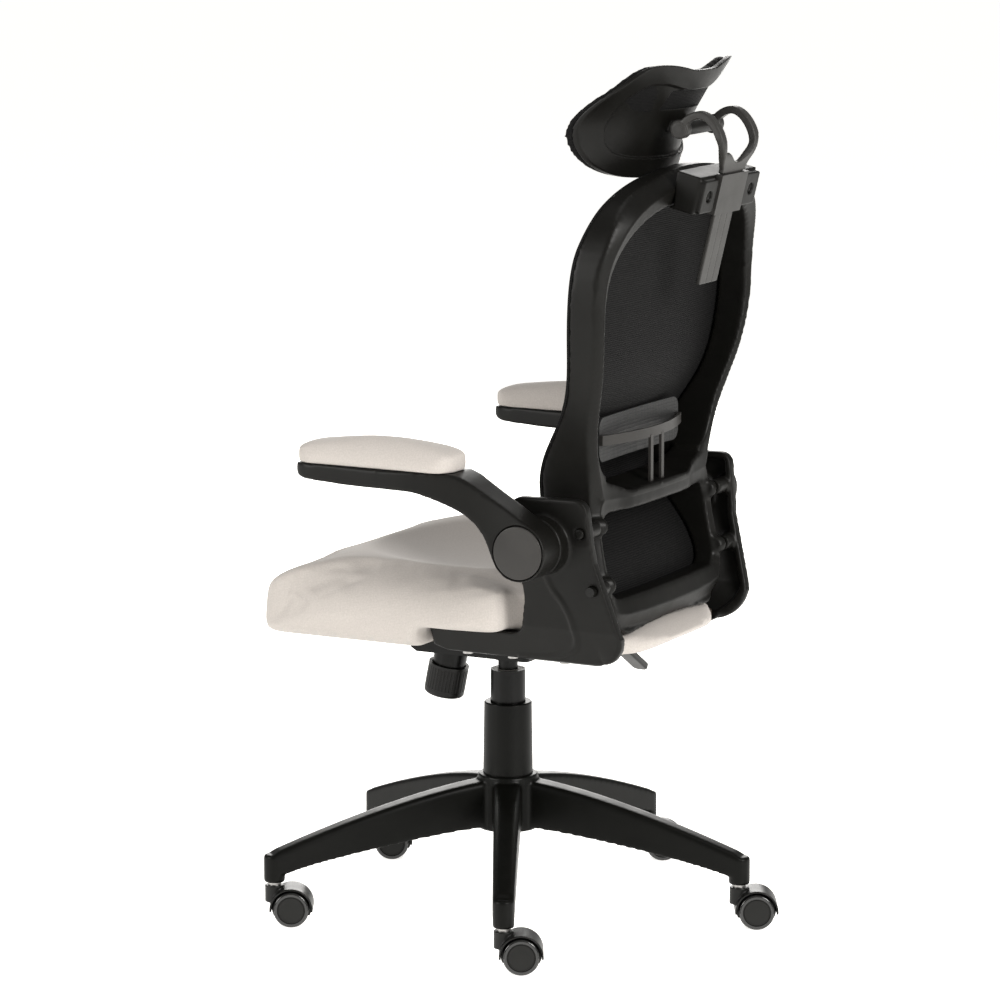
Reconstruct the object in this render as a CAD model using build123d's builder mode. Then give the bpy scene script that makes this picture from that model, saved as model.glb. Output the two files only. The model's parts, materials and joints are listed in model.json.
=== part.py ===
"""Mesh-back swivel chair with flip-up armrests and an adjustable headrest.

Frame: +Z up, the chair faces -Y, +X is the sitter's left, origin on the floor on the column axis.
All sizes are in millimetres.
"""
from build123d import *
import math
import os

os.makedirs("parts", exist_ok=True)

# ---------------------------------------------------------------- driving dimensions
clear_fit = 0.05            # radial play of a running fit
clear_gap = 0.3             # gap between pieces that only lie side by side

# base
leg_count = 5
leg_first = 26.5            # angle of the first leg from +X
leg_reach = 344.0           # column axis to caster stem
leg_width_hub = 40.0
leg_width_tip = 30.0
leg_wall = 3.5
leg_root_top = 190.0
leg_tip_top = 107.0
hub_bottom = 116.0
hub_top = 196.0
hub_radius = 43.0
socket_bottom = 61.0
socket_radius = 15.0

# casters
wheel_radius = 25.0
wheel_width = 20.0
wheel_gap = 4.6             # centre plane to the inner face of a wheel
caster_trail = 24.0
caster_heading = 117.5      # way the casters trail, from +X
hood_over = 5.5             # how far a hood's rim stands out past its wheels
hood_radius = wheel_radius + hood_over
hood_wall = 2.6
stem_radius = 5.5
axle_radius = 3.0

# gas column
tube_radius = 25.0
tube_wall = 1.5
tube_top = 347.0
cover_top = 300.0
cover_radius_top = 34.0
cover_radius_bottom = 35.5
cylinder_radius = 14.0
cylinder_wall = 2.0
cylinder_bottom = 176.0
rod_radius = 5.0
lift_down = 12.0
lift_up = 60.0

# tilt mechanism
mech_bottom = 372.0
mech_top = 404.0
mech_half_width = 62.0
mech_front = -128.0
mech_rear = 62.0
mech_wall = 2.5
collar_radius = 20.0
collar_bottom = 361.0
pivot_y = -55.0
pivot_z = 394.0
pivot_radius = 5.0
knob_radius = 29.0
knob_height = 46.0
knob_foot = (0.0, -104.0, 300.0)
knob_lean = 11.5
neck_radius = 24.0
screw_radius = 5.0

# lever
lever_radius = 4.0
lever_y = 30.0
lever_z = 381.0
lever_pin_x = -66.0
lever_pin_radius = 1.5
paddle_y = 84.0

# seat
board_bottom = 414.0
board_thick = 12.0
board_half_width = 205.0
board_front = -250.0
board_rear = 245.0
plate_thick = 3.0
seat_front = -285.0
seat_rear = 284.0
seat_half_width = 244.0
seat_top = 492.0
bolster_top = 520.0         # crest of the cushion along its sides
dish_reach = 188.0          # radius of the hollow that is sat in, at the crest's level
dish_centre = -15.0

# side brackets
bracket_skin = 4.0
bracket_thick = 16.0
bracket_foot_top = 446.0
bracket_bottom = 404.0
arm_axis_y = 175.0
arm_axis_z = 578.0
arm_hub_radius = 40.0
arm_hub_in = 261.0
arm_hub_out = 310.0
arm_shaft_radius = 15.0
frame_side = 184.0          # half width of the back frame between the brackets
lug_face = 190.0            # outer face of the lugs that the bracket spacers meet
head_half_width = 153.0
lumbar_bottom = 675.0
side_screws = ((231.0, 597.0), (245.0, 518.0))
side_screw_head = 6.5
side_screw_shank = 3.0

# armrests
arm_pad_bottom = 678.0
arm_pad_top = 719.0
arm_pad_in = 252.0
arm_pad_out = 330.0
arm_tip = -163.0
arm_pad_back = 80.0

# lumbar support
lumbar_travel = 15.0
lumbar_half_width = 125.0
rail_x = 17.0
rail_y = 231.0
rail_width = 8.0
rail_thick = 4.0

# back
back_half_width = 245.0
window_bottom = 650.0
window_top = 1032.0
mesh_thick = 2.0
post_lean = 13.5
post_width = 58.0
post_thick = 6.0
post_y = 335.0              # post centre plane at post_z
post_z = 1041.0
post_foot_z = 915.0
head_travel = 50.0
clamp_half_width = 42.0
block_half_width = 90.0
fork_half_width = 60.0
fork_arm = 15.0
barrel_y = 290.0
barrel_z = 1128.0
barrel_radius = 11.5
head_pin_radius = 4.0


def save(part, name):
    """Labels a finished piece and writes it to its own file."""
    part.label = name
    export_step(part, f"parts/{name}.step")


def at_leg(k, part):
    """Turns a piece built on the +X leg round to leg k."""
    return Rot(0, 0, leg_first + 360.0 / leg_count * k) * part


def leg_point(k):
    """Stem centre of leg k in plan."""
    turn = math.radians(leg_first + 360.0 / leg_count * k)
    return leg_reach * math.cos(turn), leg_reach * math.sin(turn)


# ---------------------------------------------------------------- base
with BuildPart() as leg:
    with BuildSketch(Plane.XZ):
        with BuildLine():
            Spline((20, leg_root_top), (leg_reach * 0.55, 156), (leg_reach - 5, leg_tip_top), tangents=((1, -0.1), (1, -0.37)))
            Line((leg_reach - 5, leg_tip_top), (leg_reach + socket_radius - 2, leg_tip_top - 12))
            Line((leg_reach + socket_radius - 2, leg_tip_top - 12), (leg_reach + socket_radius - 2, 74))
            Line((leg_reach + socket_radius - 2, 74), (leg_reach - socket_radius, 74))
            Spline((leg_reach - socket_radius, 74), (leg_reach * 0.5, 105), (20, 121), tangents=((-1, 0.27), (-1, 0.03)))
            Line((20, 121), (20, leg_root_top))
        make_face()
    extrude(amount=leg_width_hub, both=True)
    with BuildSketch(Plane.XY):
        with BuildLine():
            Polyline(
                (0, -leg_width_hub / 2),
                (leg_reach + socket_radius, -leg_width_tip / 2),
                (leg_reach + socket_radius, leg_width_tip / 2),
                (0, leg_width_hub / 2),
                close=True,
            )
        make_face()
    extrude(amount=300, mode=Mode.INTERSECT)
    long_edges = leg.edges().filter_by(lambda e: e.length > 150 and e.center().Z > 128)
    fillet(long_edges, 7)
    with BuildSketch(Plane.XY):
        with Locations((leg_reach / 2 - 20, 0)):
            Rectangle(leg_reach + 40, 60)
        with Locations((leg_reach, 0)):
            Circle(leg_width_tip / 2)
    extrude(amount=300, mode=Mode.INTERSECT)

with BuildPart() as leg_pocket:
    for start, end in ((46, 118), (122, 196), (200, 262), (266, 318)):
        drop = 0.27
        with BuildSketch(Plane.XZ):
            with BuildLine():
                Polyline(
                    (start, 60),
                    (end, 60),
                    (end, leg_root_top - 9 - drop * end),
                    (start, leg_root_top - 9 - drop * start),
                    close=True,
                )
            make_face()
        half = leg_width_hub / 2 - leg_wall - (leg_width_hub - leg_width_tip) / 2 * end / leg_reach
        extrude(amount=half, both=True)

with BuildPart() as base_star:
    with BuildSketch(Plane.XY.offset(hub_bottom)):
        Circle(hub_radius)
    extrude(amount=hub_top - hub_bottom)
    for k in range(leg_count):
        add(at_leg(k, leg.part))
    for k in range(leg_count):
        add(at_leg(k, leg_pocket.part), mode=Mode.SUBTRACT)
    with PolarLocations(leg_reach, leg_count, leg_first):
        with Locations((0, 0, socket_bottom)):
            Cylinder(socket_radius, 40, align=(Align.CENTER, Align.CENTER, Align.MIN))
            Cylinder(
                stem_radius + clear_fit,
                37,
                align=(Align.CENTER, Align.CENTER, Align.MIN),
                mode=Mode.SUBTRACT,
            )
    with Locations((0, 0, hub_bottom)):
        Cylinder(tube_radius, 300, align=(Align.CENTER, Align.CENTER, Align.MIN), mode=Mode.SUBTRACT)
save(base_star.part, "base_star")


# ---------------------------------------------------------------- casters
wheel_axis = (caster_trail, 0, wheel_radius)
with BuildPart() as caster_hood:
    with BuildSketch(Plane.XZ.offset(-wheel_gap - wheel_width)):
        with Locations((caster_trail, wheel_radius)):
            Circle(hood_radius)
            Circle(hood_radius - hood_wall, mode=Mode.SUBTRACT)
        with Locations((caster_trail, -30)):
            Rectangle(90, 2 * (30 + wheel_radius - 3), mode=Mode.SUBTRACT)
    extrude(amount=2 * (wheel_gap + wheel_width))
    with BuildSketch(Plane.XY.offset(wheel_radius + 8)):
        Circle(13.5)
    extrude(amount=57 - wheel_radius - 8)
    with BuildSketch(Plane.XZ.offset(-wheel_gap + 1)):
        with Locations((caster_trail, wheel_radius)):
            Circle(hood_radius - hood_wall + 0.5)
        with Locations((caster_trail, 0)):
            Rectangle(90, 2 * 12, mode=Mode.SUBTRACT)
    extrude(amount=2 * wheel_gap - 2)
    with BuildSketch(Plane.XZ.offset(-60)):
        with Locations((caster_trail, wheel_radius)):
            Circle(wheel_radius + 1.2)
    extrude(amount=60 - wheel_gap + 1, mode=Mode.SUBTRACT)
    with BuildSketch(Plane.XZ.offset(wheel_gap - 1)):
        with Locations((caster_trail, wheel_radius)):
            Circle(wheel_radius + 1.2)
    extrude(amount=60, mode=Mode.SUBTRACT)
    with Locations((0, 0, wheel_radius + 14)):
        Cylinder(stem_radius, 40, align=(Align.CENTER, Align.CENTER, Align.MIN), mode=Mode.SUBTRACT)
    with BuildSketch(Plane.XZ.offset(-60)):
        with Locations((caster_trail, wheel_radius)):
            Circle(axle_radius)
    extrude(amount=120, mode=Mode.SUBTRACT)

with BuildPart() as caster_pins:
    with BuildSketch(Plane.XY.offset(wheel_radius + 14)):
        Circle(stem_radius)
    extrude(amount=socket_bottom + 36 - wheel_radius - 14)
    with BuildSketch(Plane.XY.offset(57)):
        Circle(9)
    extrude(amount=socket_bottom - 57 - 0.2)
    with BuildSketch(Plane.XZ.offset(-wheel_gap - wheel_width + 4)):
        with Locations((caster_trail, wheel_radius)):
            Circle(axle_radius)
    extrude(amount=2 * (wheel_gap + wheel_width - 4))

with BuildPart() as wheel:
    with BuildSketch(Plane.XZ.offset(wheel_gap)):
        with Locations((caster_trail, wheel_radius)):
            Circle(wheel_radius)
            Circle(axle_radius + clear_fit, mode=Mode.SUBTRACT)
    extrude(amount=wheel_width)
    rims = wheel.edges().filter_by(GeomType.CIRCLE).filter_by(lambda e: e.radius > wheel_radius - 1)
    fillet(rims, 3)
    with BuildSketch(Plane.XZ.offset(wheel_gap + wheel_width)):
        with Locations((caster_trail, wheel_radius)):
            Circle(wheel_radius - 2.8)
            Circle(wheel_radius - 3.8, mode=Mode.SUBTRACT)
    extrude(amount=-1.2, mode=Mode.SUBTRACT)
    with BuildSketch(Plane.XZ.offset(wheel_gap + wheel_width - 3)):
        with Locations((caster_trail, wheel_radius)):
            Circle(axle_radius + 1)
    extrude(amount=3)

for k in range(leg_count):
    stem_x, stem_y = leg_point(k)
    place = Pos(stem_x, stem_y, 0) * Rot(0, 0, caster_heading)
    save(place * caster_hood.part, f"caster_hood_{k + 1}")
    save(place * caster_pins.part, f"caster_pins_{k + 1}")
    save(place * wheel.part, f"wheel_{k + 1}_right")
    save(place * mirror(wheel.part, about=Plane.XZ), f"wheel_{k + 1}_left")


# ---------------------------------------------------------------- gas column
tube_bore = tube_radius - tube_wall
tube_floor = hub_bottom + 3.0
with BuildPart() as stand_tube:
    with BuildSketch(Plane.XY.offset(hub_bottom)):
        Circle(tube_radius)
    extrude(amount=tube_top - hub_bottom)
    with BuildSketch(Plane.XY.offset(tube_floor)):
        Circle(tube_bore)
    extrude(amount=tube_top - tube_floor, mode=Mode.SUBTRACT)
    with BuildSketch(Plane.XY.offset(hub_bottom)):
        Circle(rod_radius + clear_fit)
    extrude(amount=5, mode=Mode.SUBTRACT)
save(stand_tube.part, "stand_tube")

with BuildPart() as guide_bush:
    with BuildSketch(Plane.XY.offset(tube_top - 82)):
        Circle(tube_bore)
        Circle(cylinder_radius + clear_fit, mode=Mode.SUBTRACT)
    extrude(amount=82)
save(guide_bush.part, "guide_bush")

with BuildPart() as column_cover:
    with BuildSketch(Plane.XY.offset(hub_top)):
        Circle(cover_radius_bottom)
    with BuildSketch(Plane.XY.offset(cover_top)):
        Circle(cover_radius_top)
    loft()
    fillet(column_cover.edges().group_by(Axis.Z)[-1], 2)
    with BuildSketch(Plane.XY.offset(hub_top)):
        Circle(cover_radius_top - 2.5)
    extrude(amount=cover_top - hub_top - 4, mode=Mode.SUBTRACT)
    with BuildSketch(Plane.XY.offset(hub_top)):
        Circle(tube_radius)
    extrude(amount=cover_top - hub_top + 1, mode=Mode.SUBTRACT)
save(column_cover.part, "column_cover")

with BuildPart() as thrust_bearing:
    with BuildSketch(Plane.XY.offset(tube_floor)):
        Circle(12)
        Circle(rod_radius, mode=Mode.SUBTRACT)
    extrude(amount=7)
save(thrust_bearing.part, "thrust_bearing")

piston_top = cylinder_bottom + 6 + lift_up + 12
with BuildPart() as piston_rod:
    with BuildSketch(Plane.XY.offset(hub_bottom - 4)):
        Circle(rod_radius)
    extrude(amount=piston_top - hub_bottom + 4)
    with BuildSketch(Plane.XY.offset(piston_top - 10)):
        Circle(cylinder_radius - cylinder_wall - clear_fit)
    extrude(amount=10)
save(piston_rod.part, "piston_rod")

cylinder_top = mech_top - 10
with BuildPart() as gas_cylinder:
    with BuildSketch(Plane.XY.offset(cylinder_bottom)):
        Circle(cylinder_radius)
    extrude(amount=cylinder_top - cylinder_bottom)
    with BuildSketch(Plane.XY.offset(cylinder_bottom + 6)):
        Circle(cylinder_radius - cylinder_wall)
    extrude(amount=cylinder_top - cylinder_bottom - 14, mode=Mode.SUBTRACT)
    with BuildSketch(Plane.XY.offset(cylinder_bottom)):
        Circle(rod_radius + clear_fit)
    extrude(amount=8, mode=Mode.SUBTRACT)
    fillet(gas_cylinder.edges().group_by(Axis.Z)[-1], 2)
save(gas_cylinder.part, "gas_cylinder")


# ---------------------------------------------------------------- tilt mechanism
knob_plane = Plane(origin=knob_foot, x_dir=(1, 0, 0), z_dir=(0, math.sin(math.radians(knob_lean)), math.cos(math.radians(knob_lean))))
neck_top = (mech_bottom - knob_foot[2]) / math.cos(math.radians(knob_lean)) + 6

with BuildPart() as neck_tool:
    with BuildSketch(knob_plane.offset(knob_height - 5)):
        Circle(neck_radius)
    extrude(amount=neck_top - knob_height + 5)

with BuildPart() as tilt_housing:
    with BuildSketch(Plane.YZ.offset(-mech_half_width)):
        with BuildLine():
            Polyline(
                (mech_front, mech_bottom + 8),
                (mech_front + 14, mech_bottom),
                (mech_rear, mech_bottom),
                (mech_rear, mech_bottom + 7),
                (24, mech_top - 12),
                (pivot_y + 22, mech_top),
                (mech_front, mech_top),
                close=True,
            )
        make_face()
    extrude(amount=2 * mech_half_width)
    fillet(tilt_housing.edges().filter_by(Axis.Z), 8)
    with BuildSketch(Plane.YZ.offset(-mech_half_width + mech_wall)):
        with BuildLine():
            Polyline(
                (mech_front + mech_wall, mech_bottom + 11),
                (mech_front + 15, mech_bottom + mech_wall),
                (mech_rear - mech_wall, mech_bottom + mech_wall),
                (mech_rear - mech_wall, mech_top + 5),
                (mech_front + mech_wall, mech_top + 5),
                close=True,
            )
        make_face()
    extrude(amount=2 * mech_half_width - 2 * mech_wall, mode=Mode.SUBTRACT)
    add(neck_tool.part)
    with BuildSketch(Plane.XY.offset(collar_bottom)):
        Circle(collar_radius)
    extrude(amount=mech_top - 14 - collar_bottom)
    with BuildSketch(Plane.XY.offset(collar_bottom - 5)):
        Circle(cylinder_radius)
    extrude(amount=60, mode=Mode.SUBTRACT)
    with BuildSketch(knob_plane.offset(knob_height - 6)):
        Circle(neck_radius - 3.5)
    extrude(amount=neck_top - knob_height, mode=Mode.SUBTRACT)
    with BuildSketch(knob_plane.offset(20)):
        Circle(screw_radius + clear_fit)
    extrude(amount=80, mode=Mode.SUBTRACT)
    with BuildSketch(Plane.XZ.offset(-lever_y)):
        with Locations((-mech_half_width, lever_z)):
            Rectangle(20, 9.2)
    extrude(amount=5, both=True, mode=Mode.SUBTRACT)
    with BuildSketch(Plane.YZ.offset(-mech_half_width - 5)):
        with Locations((pivot_y, pivot_z)):
            Circle(pivot_radius)
    extrude(amount=2 * mech_half_width + 10, mode=Mode.SUBTRACT)
save(tilt_housing.part, "tilt_housing")

with BuildPart() as tilt_axle:
    with BuildSketch(Plane.YZ.offset(-mech_half_width - 9)):
        with Locations((pivot_y, pivot_z)):
            Circle(pivot_radius)
    extrude(amount=2 * mech_half_width + 18)
save(tilt_axle.part, "tilt_axle")

spring_start = 12.0
spring_height = neck_top - 4 - spring_start - 8
with BuildPart() as tilt_spring:
    with BuildLine() as coil:
        Helix(pitch=spring_height / 5, height=spring_height, radius=15)
    with BuildSketch(Plane(coil.line @ 0, z_dir=coil.line % 0)):
        Circle(2.2)
    sweep(path=coil.line, is_frenet=True)
save(knob_plane.offset(spring_start).location * tilt_spring.part, "tilt_spring")

with BuildPart() as tension_knob:
    with BuildSketch(knob_plane):
        Circle(knob_radius)
    extrude(amount=knob_height)
    fillet(tension_knob.edges().filter_by(GeomType.CIRCLE).sort_by(Axis.Z)[0], 5)
    with BuildSketch(knob_plane.offset(10)):
        with PolarLocations(knob_radius + 0.4, 36):
            Circle(1.3)
    extrude(amount=knob_height - 14, mode=Mode.SUBTRACT)
    with BuildSketch(knob_plane.offset(8)):
        Circle(neck_radius + 0.6)
    extrude(amount=knob_height, mode=Mode.SUBTRACT)
    with BuildSketch(knob_plane.offset(-1)):
        Circle(screw_radius)
    extrude(amount=20, mode=Mode.SUBTRACT)
save(tension_knob.part, "tension_knob")

with BuildPart() as tension_screw:
    with BuildSketch(knob_plane.offset(3)):
        Circle(screw_radius)
    extrude(amount=neck_top + 2 - 3)
    with BuildSketch(knob_plane.offset(neck_top + 0.2)):
        RegularPolygon(8.5, 6)
    extrude(amount=6)
save(tension_screw.part, "tension_screw")

with BuildPart() as lever_bush:
    with BuildSketch(Plane.XZ.offset(-lever_y)):
        with Locations((-mech_half_width - 3, lever_z)):
            Rectangle(26, 8.8)
    extrude(amount=4.8, both=True)
    with BuildSketch(Plane.XZ.offset(-lever_y)):
        with Locations((-mech_half_width - 5, lever_z)):
            Rectangle(26, 20)
    extrude(amount=2.5, both=True, mode=Mode.SUBTRACT)
    with BuildSketch(Plane.XZ.offset(-lever_y)):
        with Locations((lever_pin_x, lever_z)):
            Circle(lever_pin_radius)
    extrude(amount=4, both=True)
save(lever_bush.part, "lever_bush")

lever_in = -mech_half_width - 1
with BuildPart() as lift_lever:
    with BuildSketch(Plane.YZ.offset(lever_in)):
        with Locations((lever_y, lever_z)):
            Rectangle(4.4, 7)
    extrude(amount=-16)
    with BuildSketch(Plane.XZ.offset(-lever_y)):
        with Locations((lever_pin_x, lever_z)):
            Circle(lever_pin_radius + clear_fit)
    extrude(amount=4, both=True, mode=Mode.SUBTRACT)
    with BuildLine() as lever_path:
        lever_points = ((lever_in - 15.9, lever_y, lever_z), (-120, 44, 372), (-160, 72, 354), (-205, paddle_y, 343))
        Spline(*lever_points, tangents=((-1, 0, 0), (-1, 0, -0.6)))
    with BuildSketch(Plane(lever_path.line @ 0, z_dir=lever_path.line % 0)):
        Circle(lever_radius)
    sweep(path=lever_path.line)
save(lift_lever.part, "lift_lever")

paddle_slope = 0.6
paddle_plane = Plane(origin=(-200, paddle_y, 346), x_dir=(-1, 0, -paddle_slope), z_dir=(-paddle_slope, 0, 1))
with BuildPart() as lever_paddle:
    with BuildSketch(paddle_plane.offset(-5)):
        with Locations((38, 0)):
            RectangleRounded(76, 24, 9)
    extrude(amount=10)
    fillet(lever_paddle.faces().sort_by(Axis.Z)[-1].edges(), 2.5)
    with BuildSketch(Plane(lever_path.line @ 1, z_dir=lever_path.line % 1)):
        Circle(lever_radius)
    extrude(amount=20, both=True, mode=Mode.SUBTRACT)
lever_paddle_part = lever_paddle.part - lift_lever.part
save(lever_paddle_part, "lever_paddle")


# ---------------------------------------------------------------- seat
plate_bolt_spots = ((-72, 70), (72, 70), (-72, -100), (72, -100))
foot_bolt_spots = ((-158, 20), (-158, 90), (-158, 170), (158, 20), (158, 90), (158, 170))
with BuildPart() as seat_plate:
    with BuildSketch(Plane.XY.offset(board_bottom - plate_thick)):
        with Locations((0, -20)):
            RectangleRounded(190, 240, 14)
    extrude(amount=plate_thick)
    for side in (-1, 1):
        ear_in = mech_half_width + 0.4 if side > 0 else -mech_half_width - 0.4 - plate_thick
        with BuildSketch(Plane.YZ.offset(ear_in)):
            with Locations((pivot_y, pivot_z)):
                Circle(11)
            with Locations((pivot_y, (pivot_z + board_bottom - 1) / 2)):
                Rectangle(22, board_bottom - 1 - pivot_z)
        extrude(amount=plate_thick)
    with BuildSketch(Plane.YZ.offset(-mech_half_width - 20)):
        with Locations((pivot_y, pivot_z)):
            Circle(pivot_radius + clear_fit)
    extrude(amount=2 * mech_half_width + 40, mode=Mode.SUBTRACT)
    with BuildSketch(Plane.XY.offset(board_bottom - 10)):
        with Locations(*plate_bolt_spots):
            Circle(4)
    extrude(amount=12, mode=Mode.SUBTRACT)
save(seat_plate.part, "seat_plate")

with BuildPart() as seat_board:
    with BuildSketch(Plane.XY.offset(board_bottom)):
        with BuildLine():
            Polyline(
                (-board_half_width, board_front),
                (board_half_width, board_front),
                (board_half_width, -56),
                (172, -26),
                (172, board_rear),
                (-172, board_rear),
                (-172, -26),
                (-board_half_width, -56),
                close=True,
            )
        make_face()
        fillet(vertices().group_by(Axis.Y)[0], 20)
        fillet(vertices().group_by(Axis.Y)[-1], 20)
    extrude(amount=board_thick)
    with BuildSketch(Plane.XY.offset(board_bottom)):
        with Locations(*plate_bolt_spots, *foot_bolt_spots):
            Circle(4)
    extrude(amount=10, mode=Mode.SUBTRACT)
save(seat_board.part, "seat_board")

with BuildPart() as seat_bolts:
    with BuildSketch(Plane.XY.offset(board_bottom - plate_thick)):
        with Locations(*plate_bolt_spots):
            Circle(4)
    extrude(amount=plate_thick + 9)
    with BuildSketch(Plane.XY.offset(board_bottom - plate_thick - 4)):
        with Locations(*plate_bolt_spots):
            Circle(7)
    extrude(amount=4)
    with BuildSketch(Plane.XY.offset(bracket_bottom)):
        with Locations(*foot_bolt_spots):
            Circle(4)
    extrude(amount=board_bottom - bracket_bottom + 9)
    with BuildSketch(Plane.XY.offset(bracket_bottom - 4)):
        with Locations(*foot_bolt_spots):
            Circle(7)
    extrude(amount=4)
save(seat_bolts.part, "seat_bolts")

dish_depth = bolster_top - seat_top
dish_radius = (dish_reach ** 2 + dish_depth ** 2) / (2 * dish_depth)
with BuildPart() as seat_cushion:
    with BuildSketch(Plane.XY.offset(board_bottom)):
        with BuildLine():
            Spline(
                (0, seat_front),
                (110, seat_front),
                (seat_half_width - 60, seat_front + 3),
                (seat_half_width - 18, seat_front + 21),
                (seat_half_width - 3, seat_front + 66),
                (seat_half_width, -60),
                (seat_half_width - 10, 90),
                (190, 200),
                (110, seat_rear - 16),
                (0, seat_rear),
                tangents=((1, 0), (-1, 0)),
            )
            Line((0, seat_rear), (0, seat_front))
        make_face()
        mirror(about=Plane.YZ)
    extrude(amount=bolster_top - board_bottom + 1)
    with BuildSketch(Plane.YZ.offset(-300)):
        with BuildLine():
            Spline(
                (-252, board_bottom),
                (seat_front, 452),
                (-266, 486),
                (-230, bolster_top - 12),
                (-150, bolster_top),
                (-10, bolster_top - 1),
                (110, bolster_top - 16),
                (192, 472),
            )
            Polyline((192, 472), (204, 441), (256, 438))
            Spline((256, 438), (seat_rear, 426), (265, board_bottom), tangents=((1, -0.2), (-0.9, -1)))
            Line((265, board_bottom), (-252, board_bottom))
        make_face()
    extrude(amount=600, mode=Mode.INTERSECT)
    with BuildSketch(Plane.XZ.offset(-320)):
        with BuildLine():
            Line((0, board_bottom), (seat_half_width - 30, board_bottom))
            Spline(
                (seat_half_width - 30, board_bottom),
                (seat_half_width, 454),
                (seat_half_width - 12, bolster_top - 14),
                (seat_half_width - 44, bolster_top),
                tangents=((1, 0.2), (-1, 0)),
            )
            Line((seat_half_width - 44, bolster_top), (0, bolster_top))
            Line((0, bolster_top), (0, board_bottom))
        make_face()
        mirror(about=Plane.YZ)
    extrude(amount=640, mode=Mode.INTERSECT)
    with Locations((0, dish_centre, seat_top + dish_radius)):
        Sphere(dish_radius, mode=Mode.SUBTRACT)
    with BuildSketch(Plane.XY.offset(board_bottom)):
        with BuildLine():
            Polyline((172 + clear_gap, -24), (300, -24), (300, 300), (172 + clear_gap, 300), close=True)
        make_face()
        mirror(about=Plane.YZ)
    extrude(amount=bracket_foot_top + clear_gap - board_bottom, mode=Mode.SUBTRACT)
    with BuildSketch(Plane.XY.offset(bracket_foot_top)):
        with BuildLine():
            Polyline((194, 104), (300, 104), (300, 300), (194, 300), close=True)
        make_face()
        mirror(about=Plane.YZ)
    extrude(amount=90, mode=Mode.SUBTRACT)
    with BuildSketch(Plane.XY.offset(board_bottom)):
        with BuildLine():
            Polyline(
                (-board_half_width - clear_gap, board_front - clear_gap),
                (board_half_width + clear_gap, board_front - clear_gap),
                (board_half_width + clear_gap, -55),
                (172 + clear_gap, -24),
                (172 + clear_gap, board_rear + clear_gap),
                (-172 - clear_gap, board_rear + clear_gap),
                (-172 - clear_gap, -24),
                (-board_half_width - clear_gap, -55),
                close=True,
            )
        make_face()
    extrude(amount=board_thick, mode=Mode.SUBTRACT)
save(seat_cushion.part, "seat_cushion")


# ---------------------------------------------------------------- armrests
with BuildPart() as armrest:
    with BuildSketch(Plane.YZ.offset(arm_pad_in)):
        with BuildLine():
            hub_low = (arm_axis_y - arm_hub_radius * 0.9, arm_axis_z - arm_hub_radius * 0.436)
            hub_high = (arm_axis_y + arm_hub_radius * 0.5, arm_axis_z + arm_hub_radius * 0.866)
            Line((arm_tip + 4, arm_pad_bottom), (arm_pad_back, arm_pad_bottom))
            Spline((arm_pad_back, arm_pad_bottom), (120, 658), (160, 634), hub_high, tangents=((1, -0.25), (1, -0.58)))
            Line(hub_high, (arm_axis_y, arm_axis_z))
            Line((arm_axis_y, arm_axis_z), hub_low)
            Spline(hub_low, (120, 602), (84, 631), (40, 647), (-14, 652), tangents=((-0.43, 0.9), (-1, 0)))
            Spline((-14, 652), (-130, 656), (arm_tip, 668), tangents=((-1, 0), (-0.5, 1)))
            Line((arm_tip, 668), (arm_tip + 4, arm_pad_bottom))
        make_face()
    extrude(amount=arm_pad_out - arm_pad_in)
    with BuildSketch(Plane.XY.offset(500)):
        with BuildLine():
            Line((arm_hub_in + clear_gap + 0.2, 260), (arm_hub_out, 260))
            Line((arm_hub_out, 260), (arm_hub_out, 150))
            Spline((arm_hub_out, 150), (arm_pad_out - 6, 60), (arm_pad_out, -30), tangents=((0, -1), (0, -1)))
            Line((arm_pad_out, -30), (arm_pad_out - 2, arm_tip + 36))
            Spline((arm_pad_out - 2, arm_tip + 36), (291, arm_tip - 1), (arm_pad_in + 2, arm_tip + 36), tangents=((0, -1), (0, 1)))
            Line((arm_pad_in + 2, arm_tip + 36), (arm_pad_in, -30))
            Spline((arm_pad_in, -30), (arm_pad_in + 3, 60), (arm_hub_in + clear_gap + 0.2, 130), tangents=((0, 1), (0, 1)))
            Line((arm_hub_in + clear_gap + 0.2, 130), (arm_hub_in + clear_gap + 0.2, 260))
        make_face()
    extrude(amount=300, mode=Mode.INTERSECT)
    with BuildSketch(Plane.YZ.offset(arm_hub_in + clear_gap + 0.2)):
        with Locations((arm_axis_y, arm_axis_z)):
            Circle(arm_hub_radius)
    extrude(amount=arm_hub_out - arm_hub_in - clear_gap - 0.2)
    with BuildSketch(Plane.YZ.offset(arm_hub_out - 6)):
        with Locations((arm_axis_y, arm_axis_z)):
            Circle(arm_hub_radius - 3)
    extrude(amount=20, mode=Mode.SUBTRACT)
    with BuildSketch(Plane.YZ.offset(arm_hub_in - 5)):
        with Locations((arm_axis_y, arm_axis_z)):
            Circle(arm_shaft_radius + clear_fit)
    extrude(amount=arm_hub_out - arm_hub_in, mode=Mode.SUBTRACT)

with BuildPart() as arm_pivot:
    with BuildSketch(Plane.YZ.offset(222)):
        with Locations((arm_axis_y, arm_axis_z)):
            Circle(arm_shaft_radius)
    extrude(amount=arm_hub_out - 8 - 222)

with BuildPart() as hub_cap:
    with BuildSketch(Plane.YZ.offset(arm_hub_out - 6)):
        with Locations((arm_axis_y, arm_axis_z)):
            Circle(arm_hub_radius - 4)
    extrude(amount=7)
    fillet(hub_cap.edges().group_by(Axis.X)[-1], 1.5)

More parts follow.
